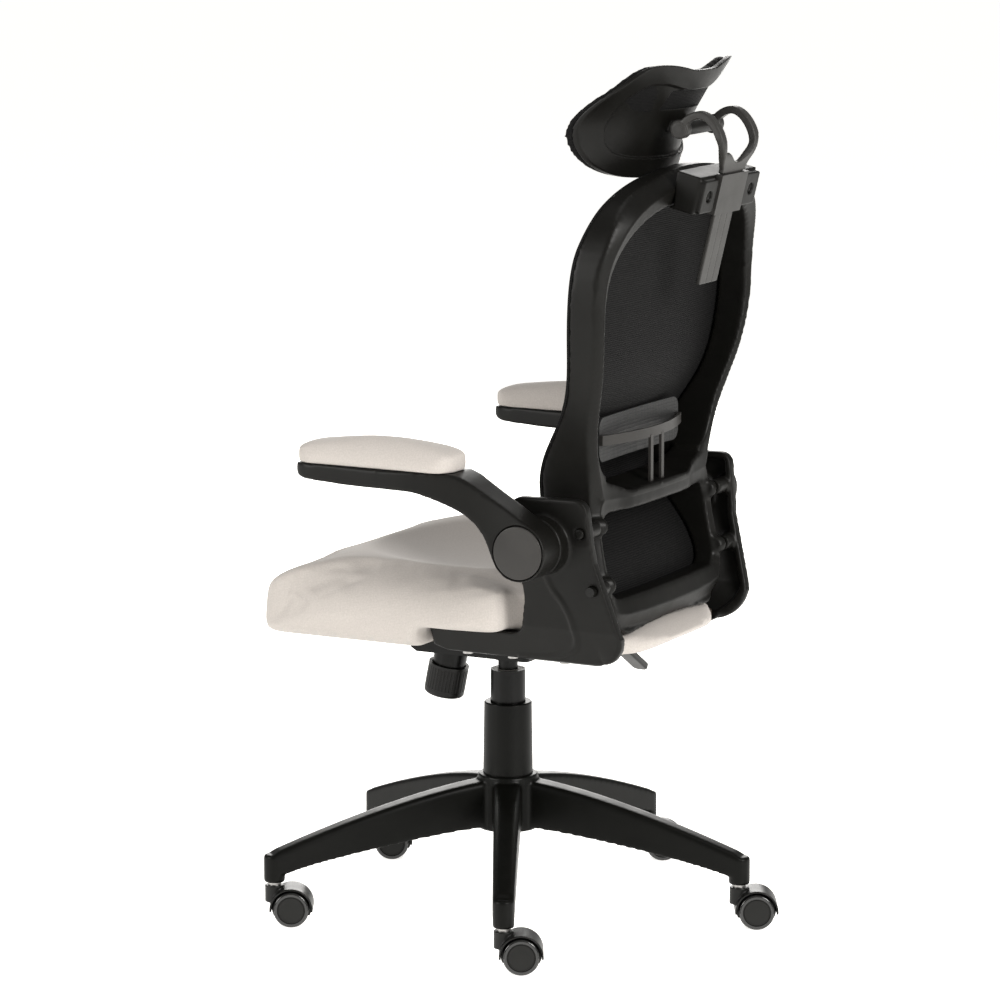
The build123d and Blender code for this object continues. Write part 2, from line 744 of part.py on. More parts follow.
with BuildPart() as arm_pad:
    with BuildSketch(Plane.XY.offset(arm_pad_bottom)):
        with BuildLine():
            Line((arm_pad_out - 1, 40), (arm_pad_out - 3, arm_tip + 36))
            Spline((arm_pad_out - 3, arm_tip + 36), (291, arm_tip + 2), (arm_pad_in + 3, arm_tip + 36), tangents=((0, -1), (0, 1)))
            Line((arm_pad_in + 3, arm_tip + 36), (arm_pad_in + 1, 40))
            Spline((arm_pad_in + 1, 40), (291, arm_pad_back - 1), (arm_pad_out - 1, 40), tangents=((0, 1), (0, -1)))
        make_face()
    extrude(amount=arm_pad_top - arm_pad_bottom)
    with BuildSketch(Plane.YZ.offset(arm_pad_in - 10)):
        with BuildLine():
            Line((-170, arm_pad_bottom), (-170, 688))
            Spline((-170, 688), (-115, 711), (-30, arm_pad_top), (40, 713), (86, 690), tangents=((0.5, 1), (0.6, -1)))
            Line((86, 690), (86, arm_pad_bottom))
            Line((86, arm_pad_bottom), (-170, arm_pad_bottom))
        make_face()
    extrude(amount=100, mode=Mode.INTERSECT)
    with BuildSketch(Plane.XZ.offset(-120)):
        with BuildLine():
            Line((arm_pad_in, arm_pad_bottom), (arm_pad_in, 690))
            ThreePointArc((arm_pad_in, 690), ((arm_pad_in + arm_pad_out) / 2, arm_pad_top), (arm_pad_out, 690))
            Line((arm_pad_out, 690), (arm_pad_out, arm_pad_bottom))
            Line((arm_pad_out, arm_pad_bottom), (arm_pad_in, arm_pad_bottom))
        make_face()
    extrude(amount=320, mode=Mode.INTERSECT)

for piece, name in ((armrest, "armrest"), (arm_pivot, "arm_pivot"), (hub_cap, "hub_cap"), (arm_pad, "arm_pad")):
    save(piece.part, f"{name}_left")
    save(mirror(piece.part, about=Plane.YZ), f"{name}_right")


# ---------------------------------------------------------------- back frame
rear_line = ((252, 440, 12), (245, 484, 14), (231, 542, 20), (219, 600, 24), (219, 660, 24), (228, 720, 22), (250, 791, 20), (264, 870, 18), (270, 950, 15), (284, 1010, 12), (290, 1085, 10))
front_line = ((222, 440, 12), (212, 484, 14), (190, 542, 18), (150, 600, 18), (140, 662, 18), (168, 719, 18), (199, 775, 18), (213, 842, 16), (219, 918, 14), (226, 977, 12), (244, 1046, 10), (250, 1085, 10))


def bowed(line, x, shift=0.0):
    """A side line of the back, moved rearwards towards the centre plane, as (y, z) points."""
    share = 1 - (x / back_half_width) ** 2
    return [(y + bow * share + shift, z) for y, z, bow in line]


def slab_sections(front, rear, front_shift, rear_shift):
    """Side-view sections, across the width, of a slab that follows the bowed back."""
    sections = []
    for x in (-back_half_width - 10, -130, 0, 130, back_half_width + 10):
        ahead = bowed(front, x, front_shift)
        behind = bowed(rear, x, rear_shift)
        with BuildSketch(Plane.YZ.offset(x)) as section:
            with BuildLine():
                Spline(*ahead)
                Line(ahead[-1], behind[-1])
                Spline(*behind)
                Line(ahead[0], behind[0])
            make_face()
        sections.append(section.sketch)
    return sections


def back_outline():
    """Outer outline of the back in front view."""
    with BuildSketch(Plane.XZ.offset(-450)) as outline:
        with BuildLine():
            Spline(
                (0, 1076),
                (120, 1064),
                (196, 1036),
                (232, 990),
                (244, 940),
                (242, 870),
                (226, 791),
                (203, 720),
                (186, 660),
                (frame_side, 600),
                (188, 542),
                (184, 490),
                (150, 456),
                (0, 449),
                tangents=((1, 0), (-1, 0)),
            )
            Line((0, 449), (0, 1076))
        make_face()
        mirror(about=Plane.YZ)
    return outline.sketch


def upper_window():
    """Opening of the back frame above the crossbar, in front view."""
    with BuildSketch(Plane.XZ.offset(-450)) as window:
        with BuildLine():
            Spline(
                (0, window_top),
                (110, 1024),
                (184, 992),
                (217, 940),
                (224, 870),
                (208, 791),
                (184, 720),
                (158, 668),
                (110, window_bottom + 1),
                (0, window_bottom),
                tangents=((1, 0), (-1, 0)),
            )
            Line((0, window_bottom), (0, window_top))
        make_face()
        mirror(about=Plane.YZ)
    return window.sketch


with BuildPart() as back_frame:
    loft(slab_sections(front_line, rear_line, 0, 0))
    extrude(back_outline(), amount=500, mode=Mode.INTERSECT)
    extrude(upper_window(), amount=500, mode=Mode.SUBTRACT)
    with BuildSketch(Plane.XZ.offset(-450)):
        with Locations((0, 552)):
            RectangleRounded(330, 116, 24)
    extrude(amount=500, mode=Mode.SUBTRACT)
    with BuildSketch(Plane.YZ.offset(-152)):
        Polygon((40, 430), (206, 430), (206, 500), (186, 600), (186, 672), (40, 672), align=None)
    extrude(amount=304, mode=Mode.SUBTRACT)
    for side in (-1, 1):
        with BuildSketch(Plane.YZ.offset(side * (frame_side - 16))):
            with Locations(*side_screws):
                Circle(12)
        extrude(amount=side * (lug_face - frame_side + 16))
        with BuildSketch(Plane.YZ.offset(side * (frame_side + 40))):
            with Locations(*side_screws):
                Circle(side_screw_shank)
        extrude(amount=-side * 48, mode=Mode.SUBTRACT)
    for side in (-1, 1):
        with BuildSketch(Plane.XY.offset(600)):
            with Locations((side * rail_x, rail_y)):
                Rectangle(rail_width + 2 * clear_gap, rail_thick + 2 * clear_gap)
        extrude(amount=70, mode=Mode.SUBTRACT)
save(back_frame.part, "back_frame")

with BuildPart() as back_mesh:
    loft(slab_sections(front_line, front_line, -mesh_thick - clear_gap, -clear_gap))
    extrude(back_outline(), amount=500, mode=Mode.INTERSECT)
save(back_mesh.part, "back_mesh")


# ---------------------------------------------------------------- side brackets
bracket_out = ((176, bracket_bottom), (192, 410), (216, 460), (236, 580), (240, 660))


bracket_side = (
    (-15, bracket_bottom + 12),
    (-15, bracket_foot_top),
    (130, bracket_foot_top),
    (140, 500),
    (124, 641),
    (240, 643),
    (250, 555),
    (280, 452),
    (240, bracket_bottom),
    (7, bracket_bottom + 4),
)

with BuildPart() as bracket_pocket:
    with BuildSketch(Plane.YZ.offset(100)) as pocket_side:
        with BuildLine():
            Polyline(*bracket_side, close=True)
        make_face()
        offset(amount=-9, kind=Kind.INTERSECTION)
    extrude(amount=200)
    with BuildSketch(Plane.XZ.offset(-400)):
        with BuildLine():
            Polyline(
                (170, 419),
                (216 - bracket_thick - 6, 460),
                (236 - bracket_thick - 6, 580),
                (240 - bracket_thick - 6, 660),
                (240 - bracket_skin, 660),
                (236 - bracket_skin, 580),
                (216 - bracket_skin, 460),
                (194 - bracket_skin, 419),
                close=True,
            )
        make_face()
    extrude(amount=600, mode=Mode.INTERSECT)
    for screw_y, screw_z in side_screws:
        with BuildSketch(Plane.YZ.offset(100)):
            with Locations((screw_y, screw_z)):
                Circle(12)
        extrude(amount=200, mode=Mode.SUBTRACT)
    with BuildSketch(Plane.YZ.offset(100)):
        with Locations((arm_axis_y, arm_axis_z)):
            Circle(arm_shaft_radius + 6)
    extrude(amount=200, mode=Mode.SUBTRACT)

with BuildPart() as side_bracket:
    with BuildSketch(Plane.YZ.offset(120)):
        with BuildLine():
            Polyline(*bracket_side, close=True)
        make_face()
        corners = vertices()
        fillet(corners.filter_by(lambda v: v.Y > 600), 18)
        fillet(vertices().filter_by(lambda v: 440 < v.Y < 510 and 120 < v.X < 145), 20)
        fillet(vertices().filter_by(lambda v: v.Y < bracket_bottom + 1 and v.X > 200), 34)
    extrude(amount=200)
    with BuildSketch(Plane.XZ.offset(-400)):
        with BuildLine():
            Polyline(
                (138, bracket_bottom),
                *bracket_out,
                (240 - bracket_thick, 660),
                (236 - bracket_thick, 580),
                (216 - bracket_thick, 460),
                (183, 425),
                (172, board_bottom - clear_gap / 3),
                (138, board_bottom - clear_gap / 3),
                close=True,
            )
        make_face()
    extrude(amount=600, mode=Mode.INTERSECT)
    add(bracket_pocket.part, mode=Mode.SUBTRACT)
    with BuildSketch(Plane.YZ.offset(lug_face)):
        with Locations(*side_screws):
            Circle(11)
    extrude(amount=224 - lug_face)
    with BuildSketch(Plane.YZ.offset(228)):
        with Locations((arm_axis_y, arm_axis_z)):
            Circle(arm_hub_radius)
    extrude(amount=arm_hub_in - 228)
    with BuildSketch(Plane.YZ.offset(190)):
        with Locations((arm_axis_y, arm_axis_z)):
            Circle(arm_shaft_radius)
    extrude(amount=80, mode=Mode.SUBTRACT)
    with BuildSketch(Plane.YZ.offset(frame_side - 20)):
        with Locations(*side_screws):
            Circle(side_screw_shank)
    extrude(amount=92, mode=Mode.SUBTRACT)
    for screw_y, screw_z in side_screws:
        seat_x = 225.5 if screw_z < 560 else 230.0
        with BuildSketch(Plane.YZ.offset(seat_x - 4)):
            with Locations((screw_y, screw_z)):
                Circle(side_screw_head)
        extrude(amount=40, mode=Mode.SUBTRACT)
    with BuildSketch(Plane.XY.offset(bracket_bottom - 5)):
        with Locations((158, 20), (158, 90), (158, 170)):
            Circle(4)
    extrude(amount=30, mode=Mode.SUBTRACT)
save(side_bracket.part, "side_bracket_left")
save(mirror(side_bracket.part, about=Plane.YZ), "side_bracket_right")

with BuildPart() as side_screws_left:
    for screw_y, screw_z in side_screws:
        seat_x = 225.5 if screw_z < 560 else 230.0
        with BuildSketch(Plane.YZ.offset(frame_side - 8)):
            with Locations((screw_y, screw_z)):
                Circle(side_screw_shank)
        extrude(amount=seat_x - 4 - frame_side + 8)
        with BuildSketch(Plane.YZ.offset(seat_x - 4)):
            with Locations((screw_y, screw_z)):
                Circle(side_screw_head)
        extrude(amount=12)
side_screws_both = Compound(children=[side_screws_left.part, mirror(side_screws_left.part, about=Plane.YZ)])
save(side_screws_both, "back_screws")


# ---------------------------------------------------------------- lumbar support
with BuildPart() as lumbar_pad:
    with BuildSketch(Plane.XY.offset(lumbar_bottom)):
        with BuildLine():
            ThreePointArc((-lumbar_half_width, 201), (0, 197), (lumbar_half_width, 201))
            Line((lumbar_half_width, 201), (lumbar_half_width, 205))
            ThreePointArc((lumbar_half_width, 205), (0, 201), (-lumbar_half_width, 205))
            Line((-lumbar_half_width, 205), (-lumbar_half_width, 201))
        make_face()
    extrude(amount=736 - lumbar_bottom)
    fillet(lumbar_pad.edges().filter_by(Axis.Y), 14)
save(lumbar_pad.part, "lumbar_pad")

brace_rear = rail_y + rail_thick / 2
with BuildPart() as lumbar_brace:
    with BuildSketch(Plane.XY.offset(699)):
        with BuildLine():
            ThreePointArc((-lumbar_half_width, 206), (0, brace_rear - 4), (lumbar_half_width, 206))
            Line((lumbar_half_width, 206), (lumbar_half_width, 210))
            ThreePointArc((lumbar_half_width, 210), (0, brace_rear), (-lumbar_half_width, 210))
            Line((-lumbar_half_width, 210), (-lumbar_half_width, 206))
        make_face()
        for side in (-1, 1):
            with Locations((side * (lumbar_half_width - 5), 206)):
                Rectangle(10, 8)
    extrude(amount=14)
    for side in (-1, 1):
        with BuildSketch(Plane.XY.offset(630)):
            with Locations((side * rail_x, rail_y)):
                Rectangle(rail_width, rail_thick)
        extrude(amount=72)
    add(lumbar_pad.part, mode=Mode.SUBTRACT)
save(lumbar_brace.part, "lumbar_brace")


# ---------------------------------------------------------------- headrest mount
lean = math.radians(post_lean)
post_plane = Plane(
    origin=(0, post_y, post_z),
    x_dir=(-1, 0, 0),
    z_dir=(0, math.cos(lean), -math.sin(lean)),
)
post_half = post_thick / 2
channel = post_half + clear_gap / 2

with BuildPart() as headrest_block:
    with BuildSketch(post_plane.offset(-channel)):
        Rectangle(2 * block_half_width, 52)
    extrude(amount=-36)
    for side in (-1, 1):
        with BuildSketch(post_plane.offset(-channel)):
            with Locations((side * 67, 0)):
                RectangleRounded(44, 46, 5)
        extrude(amount=channel + 5)
    with BuildSketch(post_plane.offset(-channel + 3)):
        with Locations((-67, 0), (67, 0)):
            Circle(8)
    extrude(amount=30, mode=Mode.SUBTRACT)
    with BuildSketch(post_plane.offset(-channel - 12)):
        with Locations((-67, 0), (67, 0)):
            Circle(4)
    extrude(amount=40, mode=Mode.SUBTRACT)
    add(back_frame.part, mode=Mode.SUBTRACT)
save(headrest_block.part, "headrest_block")

with BuildPart() as headrest_clamp:
    with BuildSketch(post_plane.offset(-channel)):
        Rectangle(2 * clamp_half_width, 56)
    extrude(amount=2 * channel + 4)
    with BuildSketch(post_plane.offset(-channel - 1)):
        Rectangle(post_width + clear_gap, 80)
    extrude(amount=2 * channel + 1, mode=Mode.SUBTRACT)
save(headrest_clamp.part, "headrest_clamp")

post_down = (post_z - post_foot_z) / math.cos(lean)
fork_start = 28.6
stem_y = post_y + fork_start * math.sin(lean)
stem_z = post_z + fork_start * math.cos(lean)
with BuildPart() as headrest_post:
    with BuildSketch(post_plane.offset(-post_half)):
        with Locations((0, (fork_start + 2 - post_down) / 2)):
            RectangleRounded(post_width, post_down + fork_start + 2, 3)
    extrude(amount=post_thick)
    with BuildSketch(post_plane.offset(post_half - 1.5)):
        with Locations((-post_width / 6, -60), (post_width / 6, -60)):
            Rectangle(1.8, 150)
    extrude(amount=3, mode=Mode.SUBTRACT)

with BuildPart() as headrest_fork:
    with BuildSketch(Plane.YZ.offset(-fork_half_width)):
        with BuildLine():
            Spline(
                (stem_y, stem_z),
                (351, 1112),
                (328, 1146),
                (barrel_y + 6, barrel_z + 9),
                tangents=((math.sin(lean), math.cos(lean)), (-1, -0.9)),
            )
        trace(line_width=7)
        with Locations((barrel_y, barrel_z)):
            Circle(barrel_radius)
    extrude(amount=2 * fork_half_width)
    with BuildSketch(Plane.XZ.offset(-400)):
        Polygon((-37, 1040), (37, 1040), (37, 1074), (53, 1100), (60, 1118), (60, 1170), (-60, 1170), (-60, 1118), (-53, 1100), (-37, 1074), align=None)
        with BuildLine():
            inner = fork_half_width - fork_arm
            Spline((-inner, 1112), (-36, 1096), (0, 1082), (36, 1096), (inner, 1112), tangents=((0, -1), (0, 1)))
            Polyline((inner, 1112), (inner, 1175), (-inner, 1175), (-inner, 1112))
        make_face(mode=Mode.SUBTRACT)
    extrude(amount=200, mode=Mode.INTERSECT)
    with BuildSketch(Plane.YZ.offset(-fork_half_width - 5)):
        with Locations((barrel_y, barrel_z)):
            Circle(head_pin_radius)
    extrude(amount=2 * fork_half_width + 10, mode=Mode.SUBTRACT)
post_and_fork = headrest_post.part + headrest_fork.part
save(post_and_fork, "headrest_post")

with BuildPart() as headrest_pin:
    with BuildSketch(Plane.YZ.offset(-fork_half_width + 1)):
        with Locations((barrel_y, barrel_z)):
            Circle(head_pin_radius)
    extrude(amount=2 * fork_half_width - 2)
save(headrest_pin.part, "headrest_pin")


# ---------------------------------------------------------------- headrest
# height, centre line Y, forward wrap of the ends
head_lines = ((1046, 219, 42), (1062, 228, 52), (1092, 243, 68), (1130, 262, 84), (1175, 284, 62), (1230, 306, 36))
head_skin = 2.6
head_rim = 9.0
head_pad_thick = 14.0


def head_slab(front_shift, rear_shift):
    """Side-view sections, across the width, of a curved panel that wraps round the head."""
    sections = []
    for x in (-165, -120, -60, 0, 60, 120, 165):
        bend = (x / 150) ** 2
        ahead = [(mid - wrap * bend + front_shift, z) for z, mid, wrap in head_lines]
        behind = [(mid - wrap * bend + rear_shift, z) for z, mid, wrap in head_lines]
        with BuildSketch(Plane.YZ.offset(x)) as section:
            with BuildLine():
                Spline(*ahead)
                Line(ahead[-1], behind[-1])
                Spline(*behind)
                Line(ahead[0], behind[0])
            make_face()
        sections.append(section.sketch)
    return sections


def head_outline(inset):
    """Outline of the headrest in front view: two raised lobes and a rounded lower edge."""
    with BuildSketch(Plane.XZ.offset(-400)) as outline:
        with BuildLine():
            Spline(
                (0, 1058 + inset),
                (60, 1060 + inset),
                (106 - inset * 0.4, 1068 + inset * 0.9),
                (136 - inset * 0.8, 1086 + inset * 0.6),
                (head_half_width - 3 - inset, 1114 + inset * 0.2),
                (head_half_width - inset, 1150),
                (head_half_width - 2 - inset, 1182 - inset * 0.3),
                (head_half_width - 19 - inset * 0.7, 1210 - inset * 0.9),
                (100, 1217 - inset),
                (50, 1210 - inset),
                (0, 1206 - inset),
                tangents=((1, 0), (-1, 0)),
            )
            Line((0, 1206 - inset), (0, 1058 + inset))
        make_face()
        mirror(about=Plane.YZ)
    return outline.sketch


with BuildPart() as headrest_pad:
    loft(head_slab(-head_pad_thick, -4 * clear_gap))
    extrude(head_outline(1), amount=400, mode=Mode.INTERSECT)
save(headrest_pad.part, "headrest_pad")

with BuildPart() as head_recess:
    loft(head_slab(head_skin, 40))
    extrude(head_outline(27), amount=400, mode=Mode.INTERSECT)

barrel_half = fork_half_width - fork_arm - clear_gap
with BuildPart() as headrest_shell:
    loft(head_slab(0, head_rim))
    extrude(head_outline(0), amount=400, mode=Mode.INTERSECT)
    add(head_recess.part, mode=Mode.SUBTRACT)
    with BuildSketch(Plane.XZ.offset(-400)):
        Polygon((-62, 1153.5), (62, 1153.5), (57, 1178.5), (-57, 1178.5), align=None)
    extrude(amount=400, mode=Mode.SUBTRACT)
    with BuildSketch(Plane.YZ.offset(-barrel_half)):
        with Locations((barrel_y, barrel_z)):
            Circle(barrel_radius - 1.5)
            Circle(head_pin_radius + clear_fit, mode=Mode.SUBTRACT)
    extrude(amount=2 * barrel_half)
    web_end = barrel_y - head_pin_radius - 2
    with BuildSketch(Plane.YZ.offset(-30)):
        Polygon((258.8, 1121), (265.6, 1135), (web_end, 1135), (web_end, 1121), align=None)
    extrude(amount=60)
save(headrest_shell.part, "headrest_shell")
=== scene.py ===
"""Swivel task chair with a mesh back and a grey fabric seat.

The looks of every part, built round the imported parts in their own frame: metres, Z up, the sitter faces -Y.
"""

import json
import logging
import math
from contextlib import contextmanager
from dataclasses import dataclass
from enum import Enum
from typing import Callable, Iterator, Sequence

import bmesh
import bpy
from mathutils import Matrix, Vector
from mathutils.bvhtree import BVHTree
from mathutils.kdtree import KDTree

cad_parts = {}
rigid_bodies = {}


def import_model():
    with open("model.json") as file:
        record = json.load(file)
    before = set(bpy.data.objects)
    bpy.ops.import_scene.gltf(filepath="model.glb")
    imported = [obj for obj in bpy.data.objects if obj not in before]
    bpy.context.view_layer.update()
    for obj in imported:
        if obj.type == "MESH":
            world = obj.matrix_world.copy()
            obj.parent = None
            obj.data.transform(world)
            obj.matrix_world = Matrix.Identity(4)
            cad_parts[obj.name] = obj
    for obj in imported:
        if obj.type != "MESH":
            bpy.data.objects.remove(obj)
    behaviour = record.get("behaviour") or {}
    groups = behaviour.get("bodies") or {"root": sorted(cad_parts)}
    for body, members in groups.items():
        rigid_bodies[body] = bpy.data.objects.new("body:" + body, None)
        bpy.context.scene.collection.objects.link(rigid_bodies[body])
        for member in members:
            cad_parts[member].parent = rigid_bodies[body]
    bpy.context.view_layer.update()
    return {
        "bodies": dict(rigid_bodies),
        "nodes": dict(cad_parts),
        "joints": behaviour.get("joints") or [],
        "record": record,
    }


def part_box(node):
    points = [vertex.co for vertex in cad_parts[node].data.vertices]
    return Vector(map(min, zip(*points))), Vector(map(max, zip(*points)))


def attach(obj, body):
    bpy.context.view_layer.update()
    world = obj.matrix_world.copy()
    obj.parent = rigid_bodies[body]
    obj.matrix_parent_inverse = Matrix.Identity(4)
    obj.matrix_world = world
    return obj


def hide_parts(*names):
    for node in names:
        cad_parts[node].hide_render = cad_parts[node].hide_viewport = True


log = logging.getLogger("chair")
MM = 0.001
CLOTH_FRAMES = 20


class Slot(Enum):
    """The record's material slots."""

    PLASTIC = "black_plastic"
    WHEEL = "wheel_plastic"
    PAINTED = "black_steel"
    BARE = "bare_steel"
    BUSH = "bush_plastic"
    BOARD = "plywood"
    FABRIC = "grey_fabric"
    MESH = "black_mesh"


class Side(Enum):
    """Left and right as the sitter has them, with the sign of X."""

    LEFT = 1
    RIGHT = -1

    @property
    def word(self) -> str:
        """The side's name as node names spell it."""
        return self.name.lower()


# ---------------------------------------------------------------- materials
class Graph:
    """A hand for wiring one material's nodes."""

    def __init__(self, name: str) -> None:
        """Start a material with a shader, an output and object coordinates.

        Args:
            name: The material's name.
        """
        self.material = bpy.data.materials.new(name)
        self.material.use_nodes = True
        self.tree = self.material.node_tree
        self.tree.nodes.clear()
        self.shader = self.tree.nodes.new("ShaderNodeBsdfPrincipled")
        output = self.tree.nodes.new("ShaderNodeOutputMaterial")
        self.tree.links.new(self.shader.outputs["BSDF"], output.inputs["Surface"])
        self.coordinates = self.tree.nodes.new("ShaderNodeTexCoord")

    def noise(self, scale: float, detail: float = 2.0,
              stretch: Sequence[float] = (1, 1, 1)) -> bpy.types.NodeSocket:
        """Noise on the object's own coordinates.

        Args:
            scale: Features per metre.
            detail: Octaves of finer noise.
            stretch: Factors on the three axes.

        Returns:
            The noise's value.
        """
        mapping = self.tree.nodes.new("ShaderNodeMapping")
        mapping.inputs["Scale"].default_value = stretch
        self.tree.links.new(self.coordinates.outputs["Object"], mapping.inputs["Vector"])
        node = self.tree.nodes.new("ShaderNodeTexNoise")
        node.inputs["Scale"].default_value = scale
        node.inputs["Detail"].default_value = detail
        self.tree.links.new(mapping.outputs["Vector"], node.inputs["Vector"])
        return node.outputs["Fac"]

    def ramp(self, value: bpy.types.NodeSocket, low: Sequence[float], high: Sequence[float],
             start: float = 0.3, end: float = 0.7) -> bpy.types.NodeSocket:
        """Turn a value into a colour between two.

        Args:
            value: The value to read.
            low: Colour at the start.
            high: Colour at the end.
            start: Value that gives the low colour.
            end: Value that gives the high colour.

        Returns:
            The colour.
        """
        node = self.tree.nodes.new("ShaderNodeValToRGB")
        node.color_ramp.elements[0].position = start
        node.color_ramp.elements[0].color = (*low, 1.0)
        node.color_ramp.elements[1].position = end
        node.color_ramp.elements[1].color = (*high, 1.0)
        self.tree.links.new(value, node.inputs["Fac"])
        return node.outputs["Color"]

    def span(self, value: bpy.types.NodeSocket, low: float, high: float) -> bpy.types.NodeSocket:
        """Stretch a value from 0..1 over a range.

        Args:
            value: The value to read.
            low: Result at 0.
            high: Result at 1.

        Returns:
            The stretched value.
        """
        node = self.tree.nodes.new("ShaderNodeMapRange")
        node.inputs["To Min"].default_value = low
        node.inputs["To Max"].default_value = high
        self.tree.links.new(value, node.inputs["Value"])
        return node.outputs["Result"]

    def maths(self, operation: str, first: bpy.types.NodeSocket,
              second: bpy.types.NodeSocket | float) -> bpy.types.NodeSocket:
        """One arithmetic step.

        Args:
            operation: The Math node's operation.
            first: First value.
            second: Second value, a socket or a number.

        Returns:
            The result.
        """
        node = self.tree.nodes.new("ShaderNodeMath")
        node.operation = operation
        self.tree.links.new(first, node.inputs[0])
        if isinstance(second, bpy.types.NodeSocket):
            self.tree.links.new(second, node.inputs[1])
        else:
            node.inputs[1].default_value = second
        return node.outputs[0]

    def axis_waves(self, pitch: float) -> list[bpy.types.NodeSocket]:
        """Three ripples, one along each of the object's axes.

        Args:
            pitch: Length of one ripple, in metres.

        Returns:
            The ripples along X, Y and Z, each from 0 to 1.
        """
        split = self.tree.nodes.new("ShaderNodeSeparateXYZ")
        self.tree.links.new(self.coordinates.outputs["Object"], split.inputs["Vector"])
        ripples = []
        for output in split.outputs:
            turned = self.maths("SINE", self.maths("MULTIPLY", output, 2 * math.pi / pitch), 0.0)
            ripples.append(self.span(self.maths("ADD", turned, 1.0), 0.0, 0.5))
        return ripples

    def facing(self) -> list[bpy.types.NodeSocket]:
        """How far the surface faces each axis: the squares of its normal's three parts."""
        split = self.tree.nodes.new("ShaderNodeSeparateXYZ")
        self.tree.links.new(self.coordinates.outputs["Normal"], split.inputs["Vector"])
        return [self.maths("MULTIPLY", output, output) for output in split.outputs]

    def wrapped_weave(self, pitch: float) -> bpy.types.NodeSocket:
        """A plain weave that lies on the surface whichever way it faces.

        Args:
            pitch: Distance between threads, in metres.

        Returns:
            The height of the threads, 0 to 1.
        """
        along_x, along_y, along_z = self.axis_waves(pitch)
        face_x, face_y, face_z = self.facing()
        parts = (
            self.maths("MULTIPLY", self.maths("MULTIPLY", along_x, along_y), face_z),
            self.maths("MULTIPLY", self.maths("MULTIPLY", along_y, along_z), face_x),
            self.maths("MULTIPLY", self.maths("MULTIPLY", along_x, along_z), face_y),
        )
        return self.maths("ADD", self.maths("ADD", parts[0], parts[1]), parts[2])

    def bump(self, height: bpy.types.NodeSocket, distance: float, strength: float) -> None:
        """Raise the surface by a height.

        Args:
            height: The height, 0 to 1.
            distance: Real height of 1, in metres.
            strength: Share of the bump that shows.
        """
        node = self.tree.nodes.new("ShaderNodeBump")
        node.inputs["Distance"].default_value = distance
        node.inputs["Strength"].default_value = strength
        self.tree.links.new(height, node.inputs["Height"])
        self.tree.links.new(node.outputs["Normal"], self.shader.inputs["Normal"])

    def feed(self, socket: str, value: bpy.types.NodeSocket) -> None:
        """Wire a value to one of the shader's sockets."""
        self.tree.links.new(value, self.shader.inputs[socket])

    def put(self, **sockets: float) -> None:
        """Set constants on the shader's own sockets; an underscore stands for a space."""
        for name, value in sockets.items():
            self.shader.inputs[name.replace("_", " ")].default_value = value


@dataclass(frozen=True)
class Finish:
    """A finish: its slot in the record and how its material is made."""

    name: str
    slot: Slot

    def make(self) -> bpy.types.Material:
        """Build the material."""
        raise NotImplementedError


@dataclass(frozen=True)
class MouldedPlastic(Finish):
    """Black moulded plastic with a fine spark-eroded grain."""

    colour: tuple[float, float, float] = (0.0042, 0.0040, 0.0034)
    rough: float = 0.40
    grain: float = 950.0
    grain_height: float = 0.00012
    shine: float = 0.16

    def make(self) -> bpy.types.Material:
        """Build the material.

        Returns:
            The material, with grain, mottling and an uneven gloss.
        """
        graph = Graph(self.name)
        mottle = graph.noise(14.0, 5.0)
        low = [c * 0.82 for c in self.colour]
        high = [c * 1.25 for c in self.colour]
        graph.feed("Base Color", graph.ramp(mottle, low, high))
        graph.feed("Roughness", graph.span(graph.noise(45.0, 4.0), self.rough - 0.07, self.rough + 0.09))
        graph.bump(graph.noise(self.grain, 3.0), self.grain_height, 0.5)
        graph.put(Specular_IOR_Level=self.shine)
        return graph.material


@dataclass(frozen=True)
class PaintedSteel(Finish):
    """Black powder coat with a little orange peel."""

    colour: tuple[float, float, float] = (0.0026, 0.0026, 0.0024)
    rough: float = 0.30

    def make(self) -> bpy.types.Material:
        """Build the material.

        Returns:
            The material, with a soft coat over it.
        """
        graph = Graph(self.name)
        low = [c * 0.8 for c in self.colour]
        high = [c * 1.3 for c in self.colour]
        graph.feed("Base Color", graph.ramp(graph.noise(30.0, 4.0), low, high))
        graph.feed("Roughness", graph.span(graph.noise(120.0, 3.0), self.rough - 0.05, self.rough + 0.08))
        graph.bump(graph.noise(420.0, 2.0), 0.0002, 0.35)
        graph.put(Specular_IOR_Level=0.16, Coat_Weight=0.03, Coat_Roughness=0.25)
        return graph.material


@dataclass(frozen=True)
class BareSteel(Finish):
    """Turned or drawn steel with fine lines along one axis."""

    colour: tuple[float, float, float] = (0.42, 0.41, 0.40)
    rough: float = 0.28

    def make(self) -> bpy.types.Material:
        """Build the material.

        Returns:
            The metal, with drawn lines and a faint oil film.
        """
        graph = Graph(self.name)
        lines = graph.noise(160.0, 4.0, (1, 1, 0.06))
        graph.feed("Base Color", graph.ramp(lines, [c * 0.8 for c in self.colour], self.colour))
        graph.feed("Roughness", graph.span(lines, self.rough - 0.08, self.rough + 0.14))
        graph.bump(lines, 0.00005, 0.4)
        graph.put(Metallic=1.0)
        return graph.material


@dataclass(frozen=True)
class PressedBoard(Finish):
    """Dark pressed plywood with grain along the seat."""

    light: tuple[float, float, float] = (0.060, 0.040, 0.026)
    dark: tuple[float, float, float] = (0.022, 0.015, 0.011)

    def make(self) -> bpy.types.Material:
        """Build the material.

        Returns:
            The wood, with long grain.
        """
        graph = Graph(self.name)
        grain = graph.noise(60.0, 6.0, (1, 0.12, 4))
        graph.feed("Base Color", graph.ramp(grain, self.dark, self.light))
        graph.feed("Roughness", graph.span(grain, 0.55, 0.8))
        graph.bump(grain, 0.0003, 0.4)
        return graph.material


